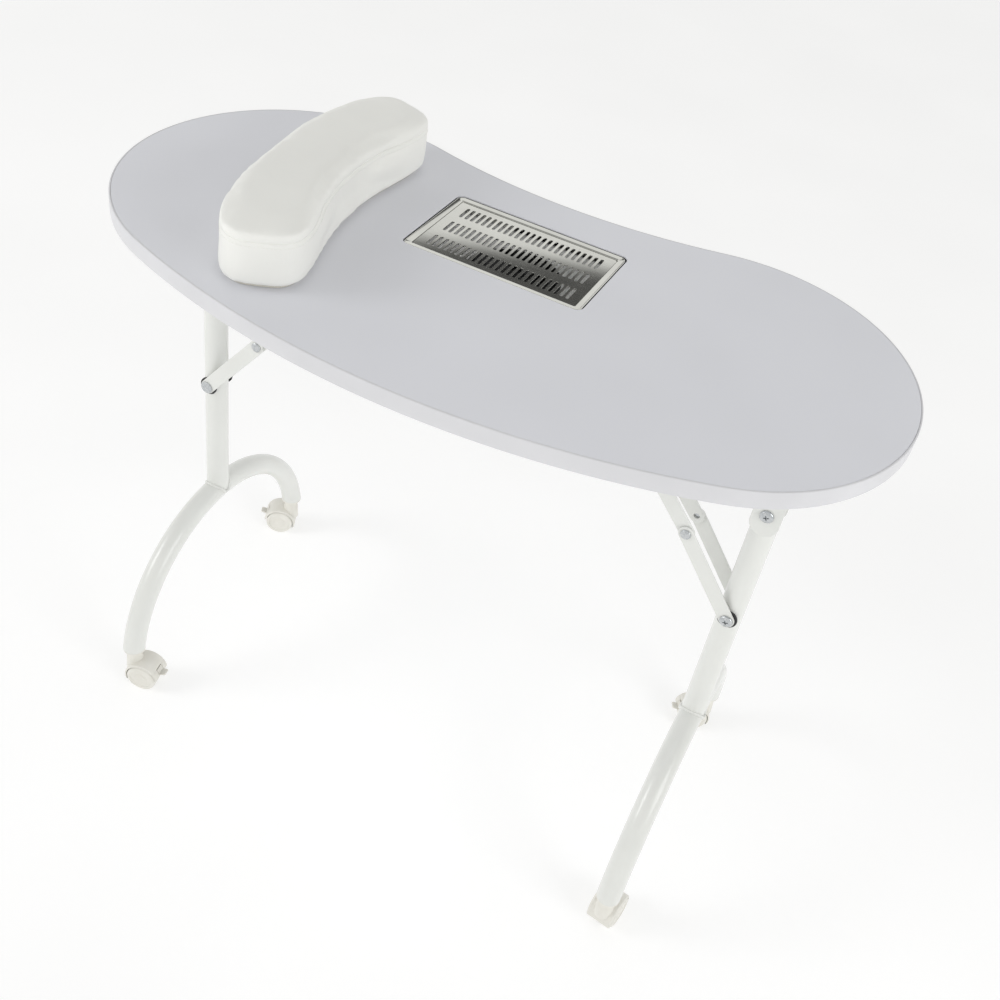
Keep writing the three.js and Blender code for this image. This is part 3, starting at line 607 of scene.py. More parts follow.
def kidney(inset):
    """The top's outline: two round ends, a convex front and a concave back, all tangent arcs."""
    size = bpy.context.scene.manicure_sizes
    end_radius, dip = size.end_radius, size.waist_dip
    end_x = size.top_length / 2 - end_radius
    end_y = size.top_width / 2 - end_radius
    rise = end_y + size.top_width / 2
    front = (end_x ** 2 + rise ** 2 - end_radius ** 2) / (2 * (rise - end_radius))
    back_rise = end_radius - dip
    back = (end_x ** 2 + back_rise ** 2 - end_radius ** 2) / (2 * dip)
    front_y = front - size.top_width / 2
    back_y = end_y + back_rise + back
    front_turn = math.atan2(end_y - front_y, end_x)
    back_turn = math.atan2(back_y - end_y, -end_x)
    right = arc((end_x, end_y), end_radius - inset, front_turn, back_turn, 64)
    waist = arc((0, back_y), back + inset, back_turn - math.pi, -back_turn, 48)
    left = arc((-end_x, end_y), end_radius - inset, math.pi - back_turn, math.pi - front_turn, 64)
    customer = arc((0, front_y), front - inset, math.pi - front_turn - 2 * math.pi, front_turn, 64)
    return right[:-1] + waist[:-1] + left[:-1] + customer[:-1]


def rounded_rectangle(length, width, corner, count=8, centre=(0, 0)):
    """A rectangle with round corners, as two-dimensional points."""
    x, y = length / 2 - corner, width / 2 - corner
    points = []
    for turn, (cx, cy) in enumerate(((x, y), (-x, y), (-x, -y), (x, -y))):
        start = turn * math.pi / 2
        points += arc((centre[0] + cx, centre[1] + cy), corner, start, start + math.pi / 2, count)
    return points


def pad(length, width, corner, count, centre=(0, 0)):
    """An outline function for a rectangle with round corners."""
    return lambda inset: rounded_rectangle(
        length - 2 * inset, width - 2 * inset, corner - inset, count, centre)


def round_ended(length, width, count=14):
    """An outline function for a bar with round ends, drawn from its first pivot along X."""
    def outline(inset):
        radius = width / 2 - inset
        half = math.pi / 2
        return arc((length, 0), radius, -half, half, count) + arc((0, 0), radius, half, 3 * half, count)
    return outline


def bean(inset, count=120):
    """The armrest's outline: a soft-cornered oval with a narrow middle, bent round a centre to its right."""
    size = bpy.context.scene.manicure_sizes
    points = []
    for i in range(count):
        angle = 2 * math.pi * (i + 0.5) / count
        along = math.copysign(abs(math.sin(angle)) ** (2 / BEAN_SQUARENESS), math.sin(angle))
        across = math.copysign(abs(math.cos(angle)) ** (2 / BEAN_SQUARENESS), math.cos(angle))
        reach = BEAN_BEND_RADIUS - across * (size.armrest_width / 2 - inset - BEAN_WAIST * (1 - along ** 2))
        turn = along * (size.armrest_length / 2 - inset) / BEAN_BEND_RADIUS
        points.append((BEAN_BEND_RADIUS - reach * math.cos(turn), reach * math.sin(turn)))
    return points


# ---- plates with holes --------------------------------------------------------------------

def plate(outline, holes, low, high, edge, place=Matrix(), steps=3):
    """A closed plate with eased edges and round-edged holes, as a bmesh.

    outline(inset) and each hole(inset) give points; a hole's negative inset makes it wider.
    """
    part = bmesh.new()
    levels = [(1.8 * edge, low)]
    for i in range(steps + 1):
        turn = math.pi / 2 * i / steps
        levels.append((edge * (1 - math.sin(turn)), low + edge * (1 - math.cos(turn))))
    for i in range(steps, -1, -1):
        turn = math.pi / 2 * i / steps
        levels.append((edge * (1 - math.sin(turn)), high - edge * (1 - math.cos(turn))))
    levels.append((1.8 * edge, high))
    bottoms, tops = [], []
    for shape, sign in [(outline, 1)] + [(hole, -1) for hole in holes]:
        rows = [[part.verts.new(p) for p in lifted(shape(sign * inset), z, place)] for inset, z in levels]
        for below, above in zip(rows, rows[1:]):
            for i in range(len(below)):
                j = (i + 1) % len(below)
                part.faces.new((below[i], below[j], above[j], above[i]))
        for row, ends in ((rows[0], bottoms), (rows[-1], tops)):
            ends += [part.edges.get((row[i], row[(i + 1) % len(row)])) for i in range(len(row))]
    for ends in (bottoms, tops):
        bmesh.ops.triangle_fill(part, use_beauty=True, use_dissolve=False, edges=ends)
    bmesh.ops.recalc_face_normals(part, faces=part.faces)
    return part


def piece_of(name, parts, sharp=35):
    """A new object from closed shells and plates, smooth apart from its sharp edges."""
    mesh = bpy.data.meshes.new(name)
    whole = bmesh.new()
    for part in parts:
        if isinstance(part, tuple):
            part = shell_mesh(*part)
        part.to_mesh(mesh)
        part.free()
        whole.from_mesh(mesh)
    whole.to_mesh(mesh)
    whole.free()
    mesh.shade_smooth()
    mesh.set_sharp_from_angle(angle=math.radians(sharp))
    made = bpy.data.objects.new(name, mesh)
    bpy.context.scene.collection.objects.link(made)
    return made


def round_hole(radius, x=0.0, y=0.0, count=24):
    """A hole function for a round hole."""
    return lambda inset: [(x + u, y + v) for u, v in circle(radius - inset, count)]


def upright_plane(x, z, angle, y=0.0):
    """A place for flat shapes that stand in the XZ plane: height above the shape runs along Y."""
    rise = Vector((math.cos(angle), 0, math.sin(angle)))
    across = Vector((-math.sin(angle), 0, math.cos(angle)))
    turn = Matrix((rise, across, Vector((0, 1, 0)))).transposed().to_4x4()
    return Matrix.Translation((x, y, z)) @ turn


def facing(x, y, z, toward):
    """A place whose Z axis points along Y (toward=1) or against it (toward=-1)."""
    return Matrix.Translation((x, y, z)) @ Matrix.Rotation(math.radians(-90 * toward), 4, "X")


def leg_place(side):
    """The place of a leg: the left leg is the right one turned half a turn."""
    turn = Matrix.Rotation(math.pi if side == "left" else 0.0, 4, "Z")
    return Matrix.Translation((side_sign(side) * POST_X, 0, 0)) @ turn


def moved(part, place):
    """A shell or plate put in a new place."""
    if isinstance(part, tuple):
        return [[place @ point for point in ring] for ring in part[0]], part[1]
    bmesh.ops.transform(part, matrix=place, verts=part.verts)
    return part


# ---- sizes and colours that a user may change -----------------------------------------------

def distance(name, description, default):
    """A length that a user may change."""
    return FloatProperty(
        name=name, description=description, subtype="DISTANCE", unit="LENGTH", default=default)


def colour(name, description, default):
    """A colour that a user may change."""
    return FloatVectorProperty(
        name=name, description=description, subtype="COLOR", size=4, default=linear(default))


class ManicureSizes(bpy.types.PropertyGroup):
    """Sizes of the table's pieces."""
    top_length: distance("Top length", "Length of the top along X", round(extent("edge_band").x, 3))
    top_width: distance("Top width", "Width of the top along Y", round(extent("edge_band").y, 3))
    end_radius: distance("End radius", "Radius of the top's two round ends", 0.209)
    waist_dip: distance("Waist dip", "How far the technician's edge curves in", 0.034)
    band_rounding: distance("Band rounding", "Radius scraped on both edges of the banding", 0.0014)
    slot_pitch: distance("Slot pitch", "Spacing of the vent slots along a row", 0.0069)
    slot_width: distance("Slot width", "Width of each vent slot", 0.0037)
    slot_length: distance("Slot length", "Length of each vent slot", 0.0236)
    slot_rows: IntProperty(name="Slot rows", description="Rows of slots across the vent", default=3)
    slot_columns: IntProperty(name="Slots per row", description="Slots along each row", default=25)
    weld_bead: distance("Weld bead", "Radius of the bead where a post meets its foot", 0.0019)
    screw_head: distance("Screw head", "Radius of the screw heads under the top", 0.0042)
    armrest_length: distance("Armrest length", "Length of the padded armrest", 0.369)
    armrest_width: distance("Armrest width", "Width of the padded armrest", 0.116)
    seam_height: distance("Seam height", "Height of the armrest's upper seam over the top", 0.0515)
    stitch_pitch: distance("Stitch pitch", "Distance from one stitch to the next", 0.0042)


class ManicureFinish(bpy.types.PropertyGroup):
    """Colours of the table's main finishes."""
    laminate: colour("Laminate", "Colour of the laminated top", "#dfe0e6")
    coat: colour("Powder coat", "Colour of the legs, braces and brackets", "#e0e1dd")
    leatherette: colour("Leatherette", "Colour of the armrest's cover", "#efefeb")


# ---- top ----------------------------------------------------------------------------------

class ManicureTop(bpy.types.Operator):
    """Makes the laminated board with its vent cut-out, and the rounded banding round its edge"""
    bl_idname = "manicure.top"
    bl_label = "Top and edge banding"

    def execute(self, context):
        size = context.scene.manicure_sizes
        vent = middle("vent_gasket")
        room = extent("vent_gasket")

        def cutout(inset):
            grow = 2 * (NODE_GAP - inset)
            return rounded_rectangle(
                room.x + grow, room.y + grow, VENT_CORNER - inset, centre=(vent.x, vent.y))

        board = plate(lambda inset: kidney(BAND_THICKNESS + NODE_GAP + inset), [cutout], UNDERSIDE_Z, TOP_Z,
                      0.25 * MM)
        finish_piece(piece_of("laminated_board", [board]), "laminate", "table", "top_board")
        rounding = size.band_rounding
        rings = []
        for low, centre_z in ((True, UNDERSIDE_Z + rounding), (False, TOP_Z - rounding)):
            for i in range(7):
                turn = math.pi / 2 * (i / 6)
                drop = math.cos(turn) if low else math.sin(turn)
                reach = math.sin(turn) if low else math.cos(turn)
                level = centre_z + (-drop if low else drop) * rounding
                rings.append(lifted(kidney(rounding * (1 - reach)), level))
        rings.append(lifted(kidney(BAND_THICKNESS), TOP_Z))
        rings.append(lifted(kidney(BAND_THICKNESS), UNDERSIDE_Z))
        finish_piece(piece_of("edge_banding_strip", [(rings, True)]), "banding", "table", "edge_band")
        return {"FINISHED"}


# ---- vent ---------------------------------------------------------------------------------

def slotted_recipe(sizes, material):
    """A rounded sheet pierced by rows of round-ended slots."""
    tree, given = start_recipe("slotted plate", sizes)
    sheet = add_node(tree, "GeometryNodeCurvePrimitiveQuadrilateral", {
        "Width": given["Length"], "Height": given["Width"],
    }).outputs["Curve"]
    outline = add_node(tree, "GeometryNodeFilletCurve", {
        "Curve": sheet, "Radius": given["Corner"], "Count": 8,
    }, mode="POLY").outputs["Curve"]
    slot = add_node(tree, "GeometryNodeCurvePrimitiveQuadrilateral", {
        "Width": given["Slot width"], "Height": given["Slot length"],
    }).outputs["Curve"]
    end = math_node(tree, "MULTIPLY", given["Slot width"], 0.499)
    round_slot = add_node(tree, "GeometryNodeFilletCurve", {
        "Curve": slot, "Radius": end, "Count": 7,
    }, mode="POLY")
    steps = math_node(tree, "SUBTRACT", given["Columns"], 1.0)
    across = math_node(tree, "MULTIPLY", given["Slot pitch"], steps)
    row_pitch = math_node(tree, "ADD", given["Slot length"], given["Land"])
    along = math_node(tree, "MULTIPLY", row_pitch, math_node(tree, "SUBTRACT", given["Rows"], 1.0))
    grid = add_node(tree, "GeometryNodeMeshGrid", {
        "Size X": across, "Size Y": along, "Vertices X": given["Columns"], "Vertices Y": given["Rows"],
    }).outputs["Mesh"]
    loops = realized(tree, placed(tree, grid, round_slot.outputs["Curve"]))
    face = add_node(tree, "GeometryNodeFillCurve", {"Curve": joined(tree, outline, loops)}).outputs["Mesh"]
    end_recipe(tree, seated(tree, face, given), material)
    return tree


class ManicureVent(bpy.types.Operator):
    """Makes the polished rim that drops into the top, and the slotted plate that lies in it"""
    bl_idname = "manicure.vent"
    bl_label = "Dust vent"

    def execute(self, context):
        size = context.scene.manicure_sizes
        material = finishes()
        centre, outer = middle("vent_frame"), extent("vent_frame")
        low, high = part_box("vent_frame")[0][2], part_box("vent_frame")[1][2]
        plate_low, plate_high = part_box("vent_plate")[0][2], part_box("vent_plate")[1][2]
        rim = (outer.x - extent("vent_plate").x) / 2 - NODE_GAP
        ledge_top = plate_low - NODE_GAP
        bend = 1.6 * MM
        inner_bend = bend - STEEL_SHEET + 0.2 * MM
        sheet_in = rim - STEEL_SHEET
        under_ledge = ledge_top - STEEL_SHEET
        under_top = high - STEEL_SHEET
        section = [(0, low)]
        section += [(bend * (1 - math.sin(t)), high - bend * (1 - math.cos(t)))
                    for t in (1.57, 1.05, 0.52, 0)]
        section += [(rim - bend * (1 - math.sin(t)), high - RIM_SLOPE - bend * (1 - math.cos(t)))
                    for t in (0, 0.52, 1.05, 1.57)]
        section += [(rim, ledge_top), (rim + LEDGE_WIDTH, ledge_top), (rim + LEDGE_WIDTH, under_ledge)]
        section += [(sheet_in, under_ledge), (sheet_in, under_top - inner_bend)]
        section += [(sheet_in - inner_bend, under_top - RIM_SLOPE)]
        section += [(STEEL_SHEET + inner_bend, under_top), (STEEL_SHEET, under_top - inner_bend)]
        section += [(STEEL_SHEET, low)]
        rings = []
        for inset, level in section:
            corner = max(VENT_CORNER - 1.2 * MM - inset, 2.2 * MM)
            ring = rounded_rectangle(
                outer.x - 2 * inset, outer.y - 2 * inset, corner, 10, (centre.x, centre.y))
            rings.append(lifted(ring, level))
        pressed = piece_of("vent_rim", [(rings, True)], 28)
        pressed.modifiers.new("flat faces stay flat", "WEIGHTED_NORMAL").keep_sharp = True
        finish_piece(settled(pressed), "steel", "table", "vent_frame")

        flat = extent("vent_plate")
        sizes = {
            "Length": flat.x, "Width": flat.y, "Corner": 3.5 * MM, "Slot pitch": size.slot_pitch,
            "Slot width": size.slot_width, "Slot length": size.slot_length,
            "Land": (flat.y - size.slot_rows * size.slot_length) / (size.slot_rows + 0.35),
            "Columns": size.slot_columns, "Rows": size.slot_rows,
            "X": centre.x, "Y": centre.y, "Z": plate_high,
        }
        sheet = follow_recipe("slotted_plate", slotted_recipe(sizes, material["steel"]), sizes)
        wall = sheet.modifiers.new("sheet", "SOLIDIFY")
        wall.thickness = plate_high - plate_low
        wall.offset = -1.0 if sheet.data.polygons[0].normal.z > 0 else 1.0
        edges = sheet.modifiers.new("pressed edges", "BEVEL")
        edges.width = 0.22 * MM
        edges.segments = 2
        edges.limit_method = "ANGLE"
        edges.angle_limit = math.radians(50)
        settled(sheet)
        sheet.data.shade_flat()
        finish_piece(sheet, "steel", "vent_plate", "vent_plate")
        paint_node("vent_gasket", material["rubber"])
        return {"FINISHED"}


# ---- fan box ------------------------------------------------------------------------------

def guard_recipe(sizes, material):
    """A flat finger guard: evenly spaced rings crossed by spokes."""
    tree, given = start_recipe("finger guard", sizes)
    bar = add_node(tree, "GeometryNodeCurvePrimitiveCircle", {
        "Resolution": 8, "Radius": given["Wire radius"],
    })
    count = given["Rings"]
    points = add_node(tree, "GeometryNodePoints", {"Count": count}).outputs["Points"]
    ring = add_node(tree, "GeometryNodeCurvePrimitiveCircle", {
        "Resolution": 64, "Radius": 1.0,
    }).outputs["Curve"]
    index = add_node(tree, "GeometryNodeInputIndex").outputs["Index"]
    share = math_node(tree, "DIVIDE", math_node(tree, "ADD", index, 1.0), count)
    reach = math_node(tree, "MULTIPLY", share, given["Radius"])
    ring_curves = realized(tree, placed(tree, points, ring, Scale=reach))
    spoke = add_node(tree, "GeometryNodeCurvePrimitiveLine", {
        "End": vector(tree, given["Radius"]),
    }).outputs["Curve"]
    spokes = add_node(tree, "GeometryNodePoints", {"Count": given["Spokes"]}).outputs["Points"]
    turn = vector(tree, z=math_node(tree, "ADD", around(tree, index, given["Spokes"]), math.pi / 4))
    spoke_curves = realized(tree, placed(tree, spokes, spoke, Rotation=turn))
    wires = add_node(tree, "GeometryNodeCurveToMesh", {
        "Curve": joined(tree, ring_curves, spoke_curves), "Profile Curve": bar.outputs["Curve"],
        "Fill Caps": True,
    }).outputs["Mesh"]
    end_recipe(tree, seated(tree, wires, given), material)
    return tree


def blades_recipe(sizes, material):
    """Swept fan blades round an axle, each one a twisted sheet."""
    tree, given = start_recipe("fan blades", sizes)
    grid = add_node(tree, "GeometryNodeMeshGrid", {
        "Size X": 1.0, "Size Y": 1.0, "Vertices X": 12, "Vertices Y": 9,
    }).outputs["Mesh"]
    spot = add_node(tree, "ShaderNodeSeparateXYZ", {
        "Vector": add_node(tree, "GeometryNodeInputPosition").outputs["Position"],
    }).outputs
    out = math_node(tree, "ADD", spot["X"], 0.5)
    span = math_node(tree, "SUBTRACT", given["Tip radius"], given["Hub radius"])
    radius = math_node(tree, "ADD", given["Hub radius"], math_node(tree, "MULTIPLY", out, span))
    sweep = math_node(tree, "MULTIPLY", math_node(tree, "MULTIPLY", out, out), 0.35)
    chord = math_node(tree, "ADD", 0.55, math_node(tree, "MULTIPLY", out, 0.15))
    angle = math_node(tree, "ADD", sweep, math_node(tree, "MULTIPLY", spot["Y"], chord))
    height = math_node(tree, "MULTIPLY", spot["Y"], math_node(tree, "MULTIPLY", given["Height"], 0.82))
    camber = math_node(tree, "MULTIPLY", math_node(tree, "MULTIPLY", spot["Y"], spot["Y"]), -0.004)
    spots = vector(tree, math_node(tree, "MULTIPLY", radius, math_node(tree, "COSINE", angle)),
                   math_node(tree, "MULTIPLY", radius, math_node(tree, "SINE", angle)),
                   math_node(tree, "ADD", height, camber))
    shaped = add_node(tree, "GeometryNodeSetPosition", {
        "Geometry": grid, "Position": spots,
    }).outputs["Geometry"]
    thin = add_node(tree, "GeometryNodeExtrudeMesh", {
        "Mesh": shaped, "Offset Scale": given["Thickness"], "Individual": False,
    }).outputs["Mesh"]
    back = add_node(tree, "GeometryNodeFlipFaces", {"Mesh": shaped}).outputs["Mesh"]
    blade = add_node(tree, "GeometryNodeMergeByDistance", {
        "Geometry": joined(tree, thin, back), "Distance": 1e-6,
    }).outputs["Geometry"]
    points = add_node(tree, "GeometryNodePoints", {"Count": given["Blades"]}).outputs["Points"]
    index = add_node(tree, "GeometryNodeInputIndex").outputs["Index"]
    turn = vector(tree, z=around(tree, index, given["Blades"]))
    wheel = placed(tree, points, blade, Rotation=turn)
    end_recipe(tree, seated(tree, wheel, given), material)
    return tree


class ManicureFan(bpy.types.Operator):
    """Makes the fan, its finger guard and the fan box's screws, and paints the fan box, the switch and the
    power inlet
    """
    bl_idname = "manicure.fan"
    bl_label = "Fan box, fan and controls"

    def execute(self, context):
        size = context.scene.manicure_sizes
        material = finishes()
        rotor, rotor_size = middle("fan_rotor"), extent("fan_rotor")
        blades = {
            "Hub radius": FAN_HUB_RADIUS - 1 * MM, "Tip radius": rotor_size.x / 2, "Height": rotor_size.z,
            "Thickness": 1.6 * MM, "Blades": 7, "X": rotor.x, "Y": rotor.y, "Z": rotor.z,
        }
        blade_piece = follow_recipe("fan_blades", blades_recipe(blades, material["black"]), blades)
        blade_piece.data.shade_smooth()
        blade_piece.data.set_sharp_from_angle(angle=math.radians(40))
        finish_piece(blade_piece, "black", "fan_rotor")
        axle = Matrix.Translation(rotor)
        half = rotor_size.z / 2
        hub = eased_rod(FAN_HUB_RADIUS, -half, half, 1.2 * MM, axle)
        finish_piece(piece_of("fan_hub", [hub]), "black", "fan_rotor", "fan_rotor")

        frame_low, frame_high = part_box("fan_frame")
        shroud_radius = extent("fan_frame").x / 2
        bore = shroud_radius - 4 * MM
        centre = Matrix.Translation((rotor.x, rotor.y, 0))
        shroud = band(lambda inset: circle(shroud_radius - inset, 72), circle(bore, 72),
                      frame_low[2], frame_high[2], 0.8 * MM, centre)
        motor_top = frame_low[2] + 5 * MM
        motor = eased_rod(FAN_HUB_RADIUS, frame_low[2], motor_top, 0.8 * MM, centre)
        struts = []
        for turn in (30, 150, 270):
            arm = slab(
                lambda inset: rounded_rectangle(
                    bore - 6 * MM - 2 * inset, 7 * MM - 2 * inset, 1.5 * MM, 3, (bore / 2 + 4 * MM, 0)),
                motor_top - 4.5 * MM, motor_top - 0.5 * MM, 0.5 * MM,
                centre @ Matrix.Rotation(math.radians(turn), 4, "Z"))
            struts.append(arm)
        finish_piece(piece_of("fan_shroud", [shroud, motor] + struts), "black", "table", "fan_frame")

        guard = middle("fan_guard")
        guard_rim = extent("fan_guard").x / 2
        wires = {
            "Radius": guard_rim - 5 * MM, "Wire radius": extent("fan_guard").z / 2, "Rings": 6, "Spokes": 4,
            "X": guard.x, "Y": guard.y, "Z": guard.z,
        }
        guard_piece = follow_recipe("finger_guard_wires", guard_recipe(wires, material["black"]), wires)
        guard_piece.data.shade_smooth()
        finish_piece(guard_piece, "black", "table")
        rim = band(lambda inset: circle(guard_rim - inset, 72), circle(guard_rim - 9 * MM, 72),
                   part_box("fan_guard")[0][2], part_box("fan_guard")[1][2], 0.35 * MM, centre)
        finish_piece(piece_of("finger_guard_rim", [rim]), "black", "table", "fan_guard")

        box_low, box_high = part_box("fan_box")
        flange_y = 12 * MM
        spots = []
        for x in (box_low[0] + 14 * MM, (box_low[0] + box_high[0]) / 2, box_high[0] - 14 * MM):
            for y in (box_low[1] + flange_y / 2, box_high[1] - flange_y / 2):
                spots.append(Vector((x, y, box_high[2] - 2 * MM)))
        for turn in range(4):
            angle = math.radians(90 * turn)
            reach = guard_rim - 4.2 * MM
            spots.append(Vector((guard.x + reach * math.cos(angle), guard.y + reach * math.sin(angle),
                                 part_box("fan_guard")[0][2])))
        screw_heads("fan_box_screws", spots, size.screw_head * 0.8)
        for node, finish in (("fan_box", "box"), ("switch_bezel", "black"), ("switch_rocker", "black"),
                             ("power_inlet", "black")):
            paint_node(node, material[finish])
        return {"FINISHED"}


def screw_heads(name, spots, radius):
    """Screw heads hanging under a surface at each of some spots."""
    points = bpy.data.meshes.new(name + "_points")
    whole = bmesh.new()
    for spot in spots:
        corners = [whole.verts.new(spot + Vector((x, y, 0))) for x, y in circle(0.001 * MM, 3)]
        whole.faces.new(corners[::-1])
    whole.to_mesh(points)
    whole.free()
    sizes = {"Head radius": radius, "Flatness": 0.45}
    heads = follow_recipe(name, screws_recipe(sizes, finishes()["zinc"]), sizes, points)
    heads.data.shade_smooth()
    heads.data.set_sharp_from_angle(angle=math.radians(38))
    return finish_piece(heads, "zinc", "table")


# ---- legs ---------------------------------------------------------------------------------

def foot_point(along, around):
    """A point on an arched foot: along its arc from the crown, and around its tube."""
    reach = FOOT_RADIUS + TUBE_RADIUS * math.cos(around)
    return Vector((
        TUBE_RADIUS * math.sin(around), reach * math.sin(along), FOOT_CENTRE_Z + reach * math.cos(along)))


def foot_tube():
    """An arched tube whose two ends are cut level."""
    count, steps = 40, 72
    end = math.acos((FOOT_END_Z - FOOT_CENTRE_Z) / FOOT_RADIUS)
    rings = []
    for i in range(steps + 1):
        ring = []
        for k in range(count):
            around = 2 * math.pi * k / count
            reach = FOOT_RADIUS + TUBE_RADIUS * math.cos(around)
            limit = math.acos((FOOT_END_Z - FOOT_CENTRE_Z) / reach)
            last = limit if i in (0, steps) else min(limit, end - 2 * MM / FOOT_RADIUS)
            along = (2 * i / steps - 1) * last
            ring.append(foot_point(along, around))
        rings.append(ring)
    return rings, False


def saddle_height(x, y, radius):
    """The height of an arched foot's upper surface under a point of the post."""
    rise = math.sqrt(max(radius ** 2 - x ** 2, 0))
    return FOOT_CENTRE_Z + math.sqrt((FOOT_RADIUS + rise) ** 2 - y ** 2)


def post_tube():
    """A tube that fits the arched foot below and is open on top, with an eased rim."""
    count, wall, ease = 48, 1.5 * MM, 0.4 * MM
    outer, inner = circle(TUBE_RADIUS, count), circle(TUBE_RADIUS - wall, count)
    rings = [[Vector((x, y, saddle_height(x, y, TUBE_RADIUS + NODE_GAP / 2))) for x, y in outer]]
    for level in (260 * MM, 320 * MM, 400 * MM, 480 * MM, POST_TOP_Z - ease):
        rings.append(lifted(outer, level))
    rings.append(lifted(circle(TUBE_RADIUS - ease, count), POST_TOP_Z))
    rings.append(lifted(circle(TUBE_RADIUS - wall + ease, count), POST_TOP_Z))
    rings.append(lifted(inner, POST_TOP_Z - ease))
    rings.append([Vector((x, y, saddle_height(x, y, TUBE_RADIUS + NODE_GAP / 2))) for x, y in inner])
    return rings, True


def weld_ring(radius):
    """A rippled weld bead round the joint of post and foot."""
    count = 180
    path = []
    for x, y in circle(TUBE_RADIUS + 0.3 * radius, count):
        held = min(max(x, -TUBE_RADIUS), TUBE_RADIUS)
        path.append(Vector((x, y, saddle_height(held, y, TUBE_RADIUS) + 0.2 * radius)))
    rings = []
    for i, point in enumerate(path):
        along = (path[(i + 1) % count] - path[i - 1]).normalized()
        outward = Vector((point.x, point.y, 0)).normalized()
        up = outward.cross(along).normalized()
        ripple = radius * (0.9 + 0.16 * abs(math.sin(math.pi * i / 5)))
        rings.append([point + outward * u + up * v for u, v in circle(ripple, 10)])
    return rings, True


class ManicureLegs(bpy.types.Operator):
    """Makes the two posts, their arched feet and the weld beads between them"""
    bl_idname = "manicure.legs"
    bl_label = "Posts and arched feet"

    def execute(self, context):
        size = context.scene.manicure_sizes
        for side in SIDES:
            place, body = leg_place(side), f"{side}_leg"
            post = piece_of(f"{side}_tube_post", [moved(post_tube(), place)])
            finish_piece(post, "coat", body, f"{side}_post")
            foot = piece_of(f"{side}_arched_foot", [moved(foot_tube(), place)], 50)
            finish_piece(foot, "coat", body, f"{side}_foot")
            weld = piece_of(f"{side}_weld_bead", [moved(weld_ring(size.weld_bead), place)], 60)
            finish_piece(weld, "coat", body)
        return {"FINISHED"}


# ---- brackets and braces --------------------------------------------------------------------

def bent_sheet(points, sheet, low, high, place=Matrix()):
    """A sheet folded along upright lines: an open path in plan, thickened inwards."""
    inner = []
    for i, point in enumerate(points):
        before = points[max(i - 1, 0)]
        after = points[min(i + 1, len(points) - 1)]
        along = (Vector(after) - Vector(before)).normalized()
        inner.append((point[0] - along.y * sheet, point[1] + along.x * sheet))
    outline = list(points) + inner[::-1]
    return [lifted(outline, low, place), lifted(outline, high, place)], False


def hanger(side):
    """A leg's hanger: screwed flange, two cheeks with round lower ends, and a web folded between them."""
    low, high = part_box(f"{side}_bracket")
    centre = middle(f"{side}_bracket")
    offset = side_sign(side) * (centre.x - side_sign(side) * POST_X)
    flange = slab(
        pad(high[0] - low[0], high[1] - low[1], 7 * MM, 8),
        high[2] - BRACKET_SHEET, high[2], 0.5 * MM, Matrix.Translation((offset, 0, 0)))
    half, top = BRACKET_WIDTH / 2, high[2] - 0.4 * BRACKET_SHEET
    round_z = FOLD_PIVOT_Z - 11 * MM

    def cheek(inset):
        r = half - inset
        return [(r, top), (-r, top)] + arc((0, round_z), r, math.pi, 2 * math.pi, 20)

    hole = round_hole(4.3 * MM, 0, FOLD_PIVOT_Z)
    parts = [flange]
    for y0, y1 in ((-CHEEK_OUTSIDE, -LINK_INSIDE), (LINK_INSIDE, CHEEK_OUTSIDE)):
        parts.append(plate(cheek, [hole], y0, y1, 0.5 * MM, upright_plane(0, 0, 0)))
    bend = 3.5 * MM
    web_x, web_y = half, CHEEK_OUTSIDE - 0.2 * MM
    path = [(web_x - 6 * MM, -web_y), (web_x - bend, -web_y)]
    path += arc((web_x - bend, -web_y + bend), bend, -math.pi / 2, 0, 6)
    path += arc((web_x - bend, web_y - bend), bend, 0, math.pi / 2, 6)
    path += [(web_x - 6 * MM, web_y)]
    parts.append(bent_sheet(path, BRACKET_SHEET, WEB_BOTTOM_Z, high[2] - 0.5 * BRACKET_SHEET))
    return parts


def anchor(side):
    """The small bracket under the top that holds the upper links."""
    low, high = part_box(f"{side}_anchor")
    half_x = (high[0] - low[0]) / 2
    x = ANCHOR_X
    flange = slab(
        pad(2 * half_x, high[1] - low[1], 6 * MM, 8, (x, 0)), high[2] - BRACKET_SHEET, high[2], 0.5 * MM)
    top = high[2] - 0.4 * BRACKET_SHEET
    wide = half_x - 6 * MM

    def cheek(inset):
        radius = BAR_WIDTH / 2 - inset
        ends = [(x + wide - inset, top), (x - wide + inset, top)]
        return ends + arc((x, ANCHOR_Z), radius, math.pi, 2 * math.pi, 18)

    hole = round_hole(3.3 * MM, x, ANCHOR_Z)
    end = LINK_INSIDE - LAYER_GAP
    parts = [flange]
    for y0, y1 in ((-end, BRACKET_SHEET - end), (end - BRACKET_SHEET, end)):
        parts.append(plate(cheek, [hole], y0, y1, 0.5 * MM, upright_plane(0, 0, 0)))
    return parts


